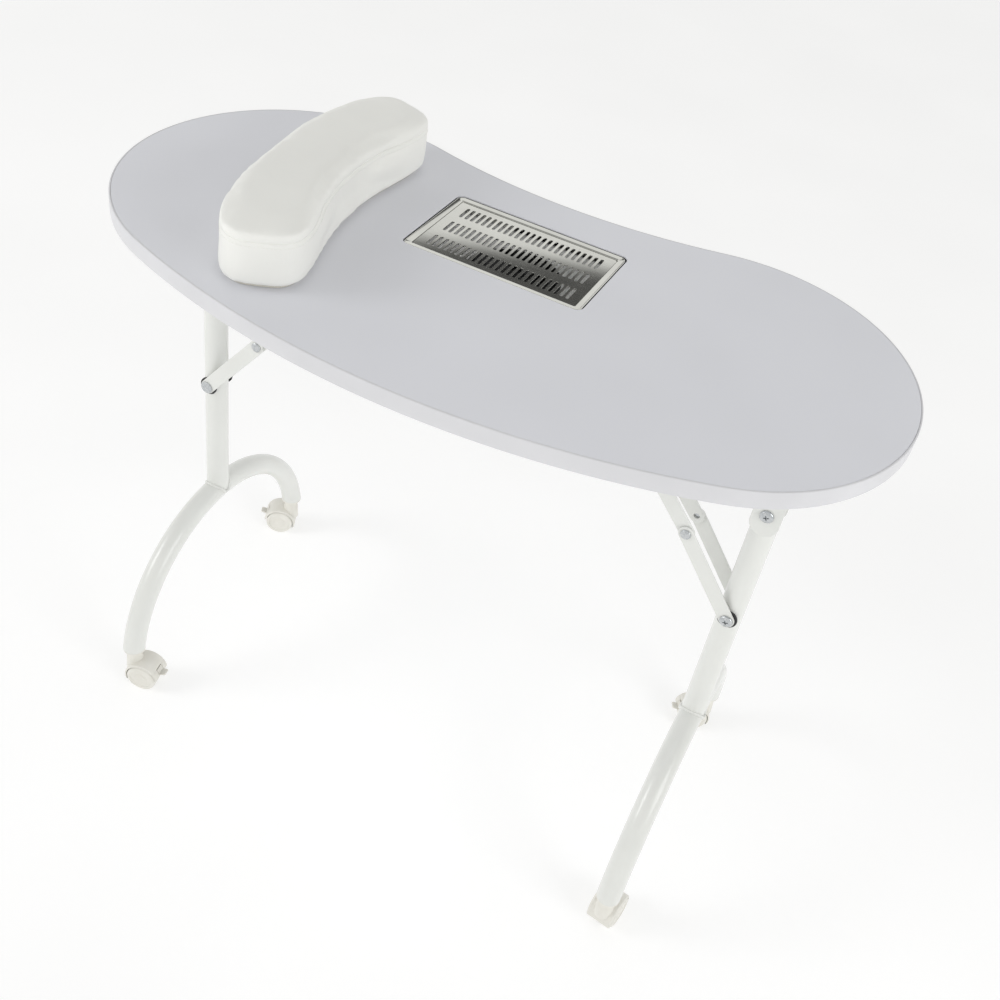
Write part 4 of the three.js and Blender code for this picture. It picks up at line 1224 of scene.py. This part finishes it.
class ManicureBrackets(bpy.types.Operator):
    """Makes the hangers and anchors under the top, and the screws that hold them"""
    bl_idname = "manicure.brackets"
    bl_label = "Hangers and anchors"

    def execute(self, context):
        size = context.scene.manicure_sizes
        spots = []
        for side in SIDES:
            place = leg_place(side)
            parts = [moved(part, place) for part in hanger(side)]
            finish_piece(piece_of(f"{side}_hanger", parts), "coat", "table", f"{side}_bracket")
            parts = [moved(part, place) for part in anchor(side)]
            finish_piece(piece_of(f"{side}_link_anchor", parts), "coat", "table", f"{side}_anchor")
            for node, inset_x, inset_y in (("bracket", 10 * MM, 12 * MM), ("anchor", 9 * MM, 7 * MM)):
                low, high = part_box(f"{side}_{node}")
                for x in (low[0] + inset_x, high[0] - inset_x):
                    for y in (low[1] + inset_y, high[1] - inset_y):
                        spots.append(Vector((x, y, high[2] - BRACKET_SHEET)))
        screw_heads("bracket_screws", spots, size.screw_head)
        return {"FINISHED"}


class ManicureBraces(bpy.types.Operator):
    """Makes the flat bars and links that lock each leg, and the spacers behind them"""
    bl_idname = "manicure.braces"
    bl_label = "Braces and spacers"

    def execute(self, context):
        knee = Vector((KNEE_X, 0, KNEE_Z))
        anchor_pin = Vector((ANCHOR_X, 0, ANCHOR_Z))
        lower_slope = math.atan2(KNEE_Z - BRACE_PIVOT_Z, KNEE_X)
        upper_slope = math.atan2(KNEE_Z - ANCHOR_Z, KNEE_X - ANCHOR_X)
        bar_length = math.hypot(KNEE_X, KNEE_Z - BRACE_PIVOT_Z)
        link_length = (knee - anchor_pin).length
        for side in SIDES:
            for place_name in PLACES:
                sign = place_sign(place_name) * side_sign(side)
                name = f"{side}_{place_name}"
                place = leg_place(side)

                def layer(inside):
                    return sorted((sign * inside, sign * (inside + BAR_SHEET)))

                flats = (
                    ("brace_bar", "lower_bar", "coat", f"{side}_lower_brace", BAR_INSIDE, 0.55 * MM,
                     round_ended(bar_length, BAR_WIDTH),
                     [round_hole(4.3 * MM), round_hole(3.5 * MM, bar_length)],
                     upright_plane(0, BRACE_PIVOT_Z, lower_slope)),
                    ("brace_link", "upper_link", "coat", f"{side}_upper_brace", LINK_INSIDE, 0.55 * MM,
                     round_ended(link_length, BAR_WIDTH),
                     [round_hole(3.3 * MM), round_hole(3.5 * MM, link_length)],
                     upright_plane(ANCHOR_X, ANCHOR_Z, upper_slope)),
                    ("bar_spacer", "spacer", "black", f"{side}_leg", LINK_INSIDE, 0.3 * MM,
                     lambda inset: circle(SPACER_RADIUS - inset, 40), [round_hole(4.3 * MM)],
                     upright_plane(0, BRACE_PIVOT_Z, 0)),
                )
                for label, node, finish, body, inside, edge, outline, holes, plane in flats:
                    flat = plate(outline, holes, *layer(inside), edge, place @ plane)
                    finish_piece(piece_of(f"{name}_{label}", [flat]), finish, body, f"{name}_{node}")
        return {"FINISHED"}


# ---- bolts, pins and rivets -----------------------------------------------------------------

def domed_head(radius, height, base, place):
    """A domed fastener head standing on a base height."""
    rim = 0.3 * MM
    profile = [(0, base), (radius - rim, base), (radius, base + rim), (radius, base + 0.28 * height)]
    for i in range(1, 8):
        turn = math.pi / 2 * i / 7
        profile.append((radius * math.cos(turn), base + height * (0.28 + 0.72 * math.sin(turn))))
    return turned(profile, place, 40)


def hexagon_nut(radius, height, base, place):
    """A hexagon nut with its corners turned off, its washer face and the bolt's end."""
    def corner(shrink, level):
        points = []
        for k in range(48):
            angle = 2 * math.pi * k / 48
            turn = (angle + math.pi / 6) % (math.pi / 3) - math.pi / 6
            flat = radius * math.cos(math.pi / 6) / math.cos(turn)
            reach = min(flat, radius - shrink)
            points.append((reach * math.cos(angle), reach * math.sin(angle)))
        return lifted(points, level, place)
    washer = rod(radius + 0.8 * MM, base, base + 1 * MM, place, 40)
    body = [corner(shrink, level) for shrink, level in (
        (0.9 * MM, base + 0.8 * MM), (0, base + 1.6 * MM), (0, base + height - 0.8 * MM),
        (1.0 * MM, base + height))]
    top = base + height + 1.5 * MM
    end = turned([
        (0, base), (4 * MM, base), (4 * MM, base + height + 1 * MM), (3.4 * MM, top), (0, top),
    ], place, 32)
    return [washer, (body, False), end]


def cross_recess(piece, tip, reach, depth):
    """Cuts a tapered cross into a head; tip is the head's crown, facing along Y."""
    toward = 1 if tip.y > 0 else -1
    arms = []
    for turn in (20, 110):
        place = Matrix.Translation(tip) @ Matrix.Rotation(math.radians(-90 * toward), 4, "X")
        place = place @ Matrix.Rotation(math.radians(turn), 4, "Z")
        outline = rounded_rectangle(2 * reach, 1.5 * MM, 0.4 * MM, 2)
        narrow = rounded_rectangle(1.2 * reach, 0.9 * MM, 0.3 * MM, 2)
        arms.append(([lifted(narrow, -depth, place), lifted(outline, 1 * MM, place)], False))
    for arm in arms:
        cutter = piece_of("recess_cutter", [arm])
        cut = piece.modifiers.new("recess", "BOOLEAN")
        cut.object = cutter
        cut.solver = "EXACT"
        settled(piece)
        bpy.data.objects.remove(cutter)
    piece.data.set_sharp_from_angle(angle=math.radians(35))


class ManicureFasteners(bpy.types.Operator):
    """Makes the pivot bolts with their nuts, the link pins and the knee rivets"""
    bl_idname = "manicure.fasteners"
    bl_label = "Bolts, pins and rivets"

    def execute(self, context):
        for side in SIDES:
            leg = leg_place(side)
            for node, body, height, grip in (
                ("pivot_bolt", "table", FOLD_PIVOT_Z, CHEEK_OUTSIDE),
                ("brace_bolt", f"{side}_leg", BRACE_PIVOT_Z, BAR_INSIDE + BAR_SHEET),
            ):
                start = grip + NODE_GAP
                head_place = leg @ facing(0, 0, height, -1)
                nut_place = leg @ facing(0, 0, height, 1)
                parts = [domed_head(7.5 * MM, 3.6 * MM, start, head_place)]
                parts.append(rod(4 * MM, -start, start + 0.5 * MM, head_place))
                parts += hexagon_nut(7.2 * MM, 5.5 * MM, start, nut_place)
                bolt = piece_of(f"{side}_{node}_set", parts)
                tip = head_place @ Vector((0, 0, start + 3.6 * MM))
                cross_recess(bolt, tip, 3.6 * MM, 2.4 * MM)
                finish_piece(bolt, "zinc", body, f"{side}_{node}")
            reach = LINK_INSIDE + BAR_SHEET + NODE_GAP
            parts = [rod(3 * MM, -reach, reach, leg @ facing(ANCHOR_X, 0, ANCHOR_Z, 1))]
            for toward in (-1, 1):
                place = leg @ facing(ANCHOR_X, 0, ANCHOR_Z, toward)
                parts.append(domed_head(5.5 * MM, 2.4 * MM, reach, place))
            finish_piece(piece_of(f"{side}_link_pin", parts), "zinc", "table", f"{side}_anchor_pin")
            for place_name in PLACES:
                toward = place_sign(place_name) * side_sign(side)
                place = leg @ facing(KNEE_X, 0, KNEE_Z, toward)
                outside = BAR_INSIDE + BAR_SHEET + NODE_GAP
                parts = [rod(3.2 * MM, BAR_INSIDE, outside + 0.4 * MM, place),
                         domed_head(6 * MM, 2.6 * MM, outside, place)]
                name = f"{side}_{place_name}_knee"
                finish_piece(piece_of(f"{name}_stud", parts), "zinc", f"{side}_lower_brace", f"{name}_rivet")
        return {"FINISHED"}


# ---- casters ------------------------------------------------------------------------------

# turns a flat shape up on end: its Y runs up and its height runs along Y
UPENDED = Matrix(((1, 0, 0), (0, 0, 1), (0, 1, 0))).to_4x4()


def wheel_plane(angle_place, axle):
    """A place for shapes in the wheel's plane: X along the trail, Y up, height along the axle."""
    return angle_place @ Matrix.Translation(axle) @ UPENDED


def hood_cover(start, end, y_low, y_high, place, outer_round):
    """A stretch of the hood: a curved cover between two angles and two distances across."""
    inner, outer = WHEEL_RADIUS + 1 * MM, WHEEL_RADIUS + 3.5 * MM
    steps = max(int((end - start) / 4), 3)
    rings = []
    for i in range(steps + 1):
        angle = math.radians(start + (end - start) * i / steps)
        lip = 0.6 * MM if i in (0, steps) else 0.0
        section = [(y_low, inner + lip)]
        for low_side in (True, False):
            rounding = 2.2 * MM if outer_round[0 if low_side else 1] else 0.2 * MM
            edge = y_low if low_side else y_high
            inward = 1 if low_side else -1
            for k in range(5):
                turn = math.pi / 2 * (k if low_side else 4 - k) / 4
                section.append((edge + inward * rounding * (1 - math.cos(turn)),
                                outer - lip - rounding * (1 - math.sin(turn))))
        section.append((y_high, inner + lip))
        rings.append([place @ Vector((r * math.cos(angle), r * math.sin(angle), y)) for y, r in section])
    return rings, False


def caster_boss(place):
    """The upright boss that holds the stem, flared onto the hood and clear of the wheels."""
    top = BOSS_TOP_Z
    rings = []
    for radius, level in (
        (11.6 * MM, None), (10.4 * MM, 46 * MM), (9.5 * MM, 48.5 * MM), (9 * MM, 51.5 * MM),
        (9 * MM, top - 1 * MM), (8.7 * MM, top - 0.3 * MM), (8 * MM, top),
    ):
        ring = []
        for x, y in circle(radius, 40):
            across = min(abs(CASTER_TRAIL - x), WHEEL_RADIUS + 1.8 * MM)
            floor = WHEEL_RADIUS + math.sqrt((WHEEL_RADIUS + 1.8 * MM) ** 2 - across ** 2)
            ring.append(place @ Vector((x, y, max(floor, 27 * MM) if level is None else level)))
        rings.append(ring)
    hole = 4.3 * MM
    rings.append(lifted(circle(hole, 40), top, place))
    rings.append(lifted(circle(hole, 40), top - 4 * MM, place))
    return rings, False


def wheel_pair(place):
    """Twin wheels with rounded treads and dished, ringed faces, on one axle."""
    parts = []
    for toward in (-1, 1):
        side_place = place @ Matrix.Diagonal((1, 1, toward, 1))
        inside, outside = 4.3 * MM, 17.5 * MM
        r = WHEEL_RADIUS
        profile = [(0, inside), (r - 2 * MM, inside)]
        quarter = (0.4, 0.8, 1.2, 1.57)
        profile += [(r - 2 * MM + 2 * MM * math.sin(t), inside + 2 * MM * (1 - math.cos(t))) for t in quarter]
        profile += [(r - 2.4 * MM * (1 - math.cos(t)), outside - 2.4 * MM * (1 - math.sin(t)))
                    for t in (0,) + quarter]
        profile += [
            (r - 4.0 * MM, outside), (r - 4.5 * MM, outside - 0.5 * MM),
            (r - 5.0 * MM, outside - 1.1 * MM), (r - 7.5 * MM, outside - 1.3 * MM),
            (8 * MM, outside - 1.1 * MM), (7.6 * MM, outside - 0.5 * MM), (7.2 * MM, outside - 0.35 * MM),
            (3 * MM, outside - 0.2 * MM), (0, outside - 0.15 * MM),
        ]
        parts.append(turned(profile, side_place, 56))
    parts.append(rod(3 * MM, -5 * MM, 5 * MM, place, 24))
    return parts


def brake_lever(place):
    """A foot lever: a curved shoe in the hood's notch with a ribbed tab to tread on."""
    half = 5.5 * MM
    inner, outer = WHEEL_RADIUS + 1.6 * MM, WHEEL_RADIUS + 3.5 * MM
    parts = []
    low, high = math.radians(14), math.radians(36)
    shoe = arc((0, 0), outer, low, high, 8) + arc((0, 0), inner, high, low, 8)
    parts.append(([lifted(shoe, -half, place), lifted(shoe, half, place)], False))
    tab_place = place @ Matrix.Rotation(low, 4, "Z") @ Matrix.Translation((outer - 1 * MM, 0, 0))
    tab = slab(
        pad(9 * MM, 2 * half, 2 * MM, 5, (4.5 * MM, 0)),
        0.2 * MM, 2.2 * MM, 0.5 * MM, tab_place @ UPENDED)
    parts.append(tab)
    for rib in (3.2 * MM, 5.2 * MM, 7.2 * MM):
        rung = pad(0.7 * MM, 2 * half - 3 * MM, 0.3 * MM, 2, (rib, 0))
        parts.append(slab(rung, 2.0 * MM, 2.6 * MM, 0.0, tab_place @ UPENDED))
    return parts


def foot_plug(place, outward):
    """The plug in a foot's end: an insert along the leaning tube, a level collar and the stem."""
    lean = math.asin((FOOT_END_Z - FOOT_CENTRE_Z) / FOOT_RADIUS)
    collar_top = FOOT_END_Z - NODE_GAP
    insert_place = place @ Matrix.Translation((0, 0, collar_top)) @ Matrix.Rotation(outward * lean, 4, "X")
    insert = turned([
        (0, -1.5 * MM), (11.5 * MM, -1.5 * MM), (11.5 * MM, 9 * MM), (10.5 * MM, 10 * MM), (0, 10 * MM),
    ], insert_place, 40)
    low = collar_top - 3 * MM
    collar = turned([(0, low), (TUBE_RADIUS - 1.2 * MM, low), (TUBE_RADIUS - 0.3 * MM, low + 0.4 * MM),
                     (TUBE_RADIUS, low + 1.2 * MM), (TUBE_RADIUS, collar_top - 0.4 * MM),
                     (TUBE_RADIUS - 0.4 * MM, collar_top), (0, collar_top)], place, 48)
    return [insert, collar]


class ManicureCasters(bpy.types.Operator):
    """Makes the four twin-wheel casters with their foot levers and the plugs that carry them"""
    bl_idname = "manicure.casters"
    bl_label = "Casters"

    def execute(self, context):
        end_y = math.sqrt(FOOT_RADIUS ** 2 - (FOOT_END_Z - FOOT_CENTRE_Z) ** 2)
        for side in SIDES:
            for place_name in PLACES:
                name = f"{side}_{place_name}"
                spot = Vector((side_sign(side) * POST_X, place_sign(place_name) * end_y, 0))
                wheels = middle(f"{name}_wheels") - spot
                trail = math.atan2(wheels.y, wheels.x)
                upright = Matrix.Translation(spot)
                swivel = upright @ Matrix.Rotation(trail, 4, "Z")
                plane = wheel_plane(swivel, Vector((CASTER_TRAIL, 0, WHEEL_RADIUS)))
                plug = piece_of(f"{name}_foot_plug", foot_plug(upright, place_sign(place_name)))
                finish_piece(plug, "cream", f"{side}_leg", f"{name}_plug")
                stem = rod(4 * MM, BOSS_TOP_Z - 17 * MM, FOOT_END_Z - 3 * MM, upright, 24)
                finish_piece(piece_of(f"{name}_swivel_stem", [stem]), "zinc", f"{side}_leg")
                half = HOOD_WIDTH / 2
                notch = 6.1 * MM
                hood = [
                    hood_cover(38.5, 200, -half, half, plane, (True, True)),
                    hood_cover(8, 40, -half, -notch, plane, (True, False)),
                    hood_cover(8, 40, notch, half, plane, (False, True)),
                    caster_boss(swivel),
                ]

                def web(inset):
                    reach = WHEEL_RADIUS + 1.8 * MM
                    low, high = math.radians(38.5), math.radians(198)
                    rim = arc((0, 0), reach, low, high, 24)
                    return rim + arc((0, 0), 7 * MM, math.radians(200), math.radians(395), 16)

                hood.append(slab(web, -4 * MM, 4 * MM, 0.0, plane))
                cover = piece_of(f"{name}_caster_hood", hood, 40)
                finish_piece(cover, "cream", f"{name}_caster", f"{name}_hood")
                lever = piece_of(f"{name}_foot_lever", brake_lever(plane))
                finish_piece(lever, "cream", f"{name}_brake", f"{name}_brake")
                pair = piece_of(f"{name}_twin_wheels", wheel_pair(plane), 30)
                finish_piece(pair, "cream", f"{name}_wheels", f"{name}_wheels")
        return {"FINISHED"}


# ---- armrest ------------------------------------------------------------------------------

def armrest_place():
    """The place of the armrest on the top."""
    turn = Matrix.Rotation(math.radians(ARMREST_TURN), 4, "Z")
    return Matrix.Translation((ARMREST_X, ARMREST_Y, 0)) @ turn


def stuffing_form(low, high):
    """The cover before it is stuffed: straight walls, a rounded lower edge and a low crown."""
    place = armrest_place()
    rings = [lifted(bean(7 * MM), low, place), lifted(bean(4 * MM), low + 0.6 * MM, place),
             lifted(bean(1.6 * MM), low + 3.5 * MM, place)]
    for share in (0.25, 0.5, 0.75):
        rings.append(lifted(bean(0.8 * MM), low + share * (high - low), place))
    shoulder = high - 6.5 * MM
    for i in range(7):
        turn = math.pi / 2 * i / 6
        inset = 1.0 * MM + 4.5 * MM * (1 - math.cos(turn))
        rings.append(lifted(bean(inset), shoulder + 4.5 * MM * math.sin(turn), place))
    for inset, rise in ((11 * MM, 5.3 * MM), (18 * MM, 6 * MM), (26 * MM, 6.4 * MM), (34 * MM, 6.5 * MM)):
        rings.append(lifted(bean(inset), shoulder + rise, place))
    return rings, False


def skinned(piece, size):
    """Gives a form an even mesh of small faces."""
    remesh = piece.modifiers.new("skin", "REMESH")
    remesh.mode = "VOXEL"
    remesh.voxel_size = size
    return settled(piece)


def stuff(piece, pressure, limit, hold):
    """Swells a cover with air pressure as cloth; points move up to a limit, and less near the base."""
    start = [v.co.copy() for v in piece.data.vertices]
    base = min(rest.z for rest in start)
    cloth = piece.modifiers.new("cloth", "CLOTH")
    cloth.settings.use_pressure = True
    cloth.settings.uniform_pressure_force = pressure
    cloth.settings.mass = 0.25
    cloth.settings.tension_stiffness = 40
    cloth.settings.compression_stiffness = 40
    cloth.settings.bending_stiffness = 2.5
    cloth.settings.effector_weights.gravity = 0
    cloth.point_cache.frame_start = 1
    cloth.point_cache.frame_end = CLOTH_FRAMES
    for step in range(1, CLOTH_FRAMES + 1):
        bpy.context.scene.frame_set(step)
    settled(piece)
    bpy.context.scene.frame_set(1)
    for vertex, rest in zip(piece.data.vertices, start):
        shift = vertex.co - rest
        free = min((rest.z - base) / hold, 1.0)
        vertex.co = rest + shift * free * min(1.0, limit / max(shift.length, 1e-9))
    return piece


def seam_line(piece, height, count=220):
    """Points on a cushion's wall all round it at one height, with the wall's outward directions."""
    mesh = bmesh.new()
    mesh.from_mesh(piece.data)
    tree = BVHTree.FromBMesh(mesh)
    place = armrest_place()
    points = []
    outline = bean(-20 * MM, count)
    for i, (x, y) in enumerate(outline):
        before, after = Vector(outline[i - 1]), Vector(outline[(i + 1) % count])
        along = (after - before).normalized()
        inward = place.to_3x3() @ Vector((-along.y, along.x, 0))
        hit, normal = tree.ray_cast(place @ Vector((x, y, height)), inward)[:2]
        if hit is None:
            raise RuntimeError("the seam found no cushion wall to follow")
        points.append((hit, normal))
    mesh.free()
    return points


def stitch_recipe(sizes, material):
    """Short stitches laid end to end along a seam curve."""
    tree, given = start_recipe("stitches", sizes)
    spaced = add_node(tree, "GeometryNodeResampleCurve", {
        "Curve": given["Geometry"], "Length": given["Pitch"],
    }, mode="LENGTH").outputs["Curve"]
    spots = add_node(tree, "GeometryNodeCurveToPoints", {"Curve": spaced}, mode="EVALUATED").outputs
    ball = add_node(tree, "GeometryNodeMeshIcoSphere", {"Radius": 1.0, "Subdivisions": 2}).outputs["Mesh"]
    half = math_node(tree, "MULTIPLY", given["Pitch"], 0.36)
    scale = vector(tree, given["Thread"], given["Thread"], half)
    stitches = placed(tree, spots["Points"], ball, Rotation=spots["Rotation"], Scale=scale)
    end_recipe(tree, stitches, material)
    return tree


def closed_curve(name, points):
    """A closed poly curve through some points."""
    curve = bpy.data.curves.new(name, "CURVE")
    curve.dimensions = "3D"
    spline = curve.splines.new("POLY")
    spline.points.add(len(points) - 1)
    for spot, point in zip(spline.points, points):
        spot.co = (*point, 1.0)
    spline.use_cyclic_u = True
    return curve


class ManicureArmrest(bpy.types.Operator):
    """Makes the padded armrest: a stuffed leatherette cover with its seam and stitches, on a board"""
    bl_idname = "manicure.armrest"
    bl_label = "Armrest"

    def execute(self, context):
        size = context.scene.manicure_sizes
        material = finishes()
        low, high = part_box("armrest_cushion")[0][2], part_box("armrest_cushion")[1][2]
        cushion = piece_of("armrest_cover", [stuffing_form(low, high)])
        skinned(cushion, SKIN_SIZE)
        stuff(cushion, AIR_PRESSURE, SWELL_LIMIT, SWELL_HOLD)
        for vertex in cushion.data.vertices:
            vertex.co.z = max(vertex.co.z, low)
        finer = cushion.modifiers.new("finer", "SUBSURF")
        finer.levels = 1
        finer.render_levels = 1
        settled(cushion)
        seam = TOP_Z + size.seam_height
        wall = cushion.data.vertices
        crown = high - 4 * MM
        for vertex in wall:
            if vertex.co.z < crown:
                groove = math.exp(-((vertex.co.z - seam) / GROOVE_WIDTH) ** 2)
                vertex.co -= vertex.normal * GROOVE_DEPTH * groove
        cushion.data.shade_smooth()
        cushion.data.update()
        finish_piece(cushion, "leatherette", "armrest", "armrest_cushion")
        groove_line = [hit + normal * WELT_RISE for hit, normal in seam_line(cushion, seam)]
        welt = swept(groove_line, 0.75 * MM, 8, True, Vector((0, 0, 1)))
        finish_piece(piece_of("armrest_seam_fold", [welt]), "leatherette", "armrest")
        rows = {"Pitch": size.stitch_pitch, "Thread": 0.33 * MM}
        row = [hit + normal * STITCH_RISE for hit, normal in seam_line(cushion, seam - STITCH_DROP)]
        line = closed_curve("seam_path", row)
        stitches = follow_recipe("armrest_stitches", stitch_recipe(rows, material["thread"]), rows, line)
        finish_piece(stitches, "thread", "armrest")
        board_low, board_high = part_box("armrest_board")[0][2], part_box("armrest_board")[1][2]
        board = slab(lambda inset: bean(9 * MM + inset), board_low, board_high, 0.4 * MM, armrest_place())
        finish_piece(piece_of("armrest_base_board", [board]), "board", "armrest", "armrest_board")
        return {"FINISHED"}


# ---- stage --------------------------------------------------------------------------------

def area_light(name, spot, aim, size, power, colour="#ffffff"):
    """A square soft light that looks at a point."""
    data = bpy.data.lights.new(name, "AREA")
    data.size = size
    data.energy = power
    data.color = linear(colour)[:3]
    light = bpy.data.objects.new(name, data)
    light.location = spot
    light.rotation_euler = (Vector(aim) - Vector(spot)).to_track_quat("-Z", "Y").to_euler()
    bpy.context.scene.collection.objects.link(light)


class ManicureStage(bpy.types.Operator):
    """Makes the pale floor, the soft studio light and the camera"""
    bl_idname = "manicure.stage"
    bl_label = "Stage, light and camera"

    def execute(self, context):
        floor_material, tree, shader, place = start_material("white studio floor")
        speckle = noise(tree, place, 0.5, 2.0)
        shade(shader, Base_Color=tinted(tree, speckle, "#c6c6c6", "#cacaca"), Roughness=0.9,
              Specular_IOR_Level=0.0, Emission_Color=linear("#ffffff"), Emission_Strength=0.49)
        corners = [(x * FLOOR_REACH, y * FLOOR_REACH) for x, y in ((-1, -1), (1, -1), (1, 1), (-1, 1))]
        floor = piece_of("studio_floor", [([lifted(corners, z) for z in (-0.05, -0.0005)], False)])
        floor.data.materials.append(floor_material)

        # white walls, a dark gap, a bright strip of ceiling, and a dimmer ceiling overhead
        world = bpy.data.worlds.new("soft studio")
        context.scene.world = world
        world.use_nodes = True
        sky = world.node_tree
        sky.nodes.clear()
        rise = add_node(sky, "ShaderNodeSeparateXYZ", {
            "Vector": add_node(sky, "ShaderNodeTexCoord").outputs["Generated"],
        }).outputs["Z"]
        walls = add_node(sky, "ShaderNodeMapRange", {
            "Value": rise, "From Min": 0.486, "From Max": 0.499, "To Min": WALL_LEVEL,
            "To Max": GAP_LEVEL,
        }, interpolation_type="SMOOTHSTEP").outputs["Result"]
        ceiling = add_node(sky, "ShaderNodeMapRange", {
            "Value": rise, "From Min": 0.532, "From Max": 0.548, "To Min": 0.0,
            "To Max": CEILING_RISE,
        }, interpolation_type="SMOOTHSTEP").outputs["Result"]
        crown = add_node(sky, "ShaderNodeMapRange", {
            "Value": rise, "From Min": 0.70, "From Max": 0.78, "To Min": 0.0,
            "To Max": CROWN_DROP,
        }, interpolation_type="SMOOTHSTEP").outputs["Result"]
        strength = math_node(sky, "ADD", math_node(sky, "ADD", walls, ceiling), crown)
        # the camera itself sees the walls' own level all round
        seen = add_node(sky, "ShaderNodeLightPath").outputs["Is Camera Ray"]
        shown = add_node(sky, "ShaderNodeMapRange", {
            "Value": seen, "To Min": strength, "To Max": WALL_LEVEL,
        }).outputs["Result"]
        light = add_node(sky, "ShaderNodeBackground", {"Color": linear("#fffffd"), "Strength": shown})
        add_node(sky, "ShaderNodeOutputWorld", {"Surface": light.outputs["Background"]})
        area_light("left soft box", (-2.6, -1.7, 1.9), (0, 0, 0.4), 1.3, 27)
        area_light("right soft box", (2.7, -0.9, 1.6), (0, 0, 0.5), 1.5, 20)

        data = bpy.data.cameras.new("studio camera")
        data.lens = CAMERA_LENS
        data.sensor_width = 36.0
        data.clip_end = 60
        camera = bpy.data.objects.new("studio camera", data)
        camera.location = CAMERA_SPOT
        camera.rotation_euler = [math.radians(angle) for angle in CAMERA_TURN]
        context.scene.collection.objects.link(camera)
        context.scene.camera = camera
        context.scene.view_settings.view_transform = "Standard"
        return {"FINISHED"}


# ---- panel and registration -----------------------------------------------------------------

STEPS = (
    ManicureTop, ManicureVent, ManicureFan, ManicureLegs, ManicureBrackets, ManicureBraces,
    ManicureFasteners, ManicureCasters, ManicureArmrest, ManicureStage,
)


class ManicurePanel(bpy.types.Panel):
    """Lists the table's sizes, colours and pieces"""
    bl_idname = "VIEW3D_PT_manicure_table"
    bl_label = "Manicure table"
    bl_space_type = "VIEW_3D"
    bl_region_type = "UI"
    bl_category = "Manicure table"

    def draw(self, context):
        column = self.layout.column()
        for group in (context.scene.manicure_sizes, context.scene.manicure_finish):
            for name in group.__annotations__:
                column.prop(group, name)
        for step in STEPS:
            column.operator(step.bl_idname)


CLASSES = (ManicureSizes, ManicureFinish) + STEPS + (ManicurePanel,)


def register():
    for item in CLASSES:
        bpy.utils.register_class(item)
    bpy.types.Scene.manicure_sizes = PointerProperty(type=ManicureSizes)
    bpy.types.Scene.manicure_finish = PointerProperty(type=ManicureFinish)


def unregister():
    del bpy.types.Scene.manicure_finish
    del bpy.types.Scene.manicure_sizes
    for item in reversed(CLASSES):
        bpy.utils.unregister_class(item)


def main():
    register()
    for step in STEPS:
        family, piece = step.bl_idname.split(".")
        getattr(getattr(bpy.ops, family), piece)()


if __name__ == "__main__":
    main()
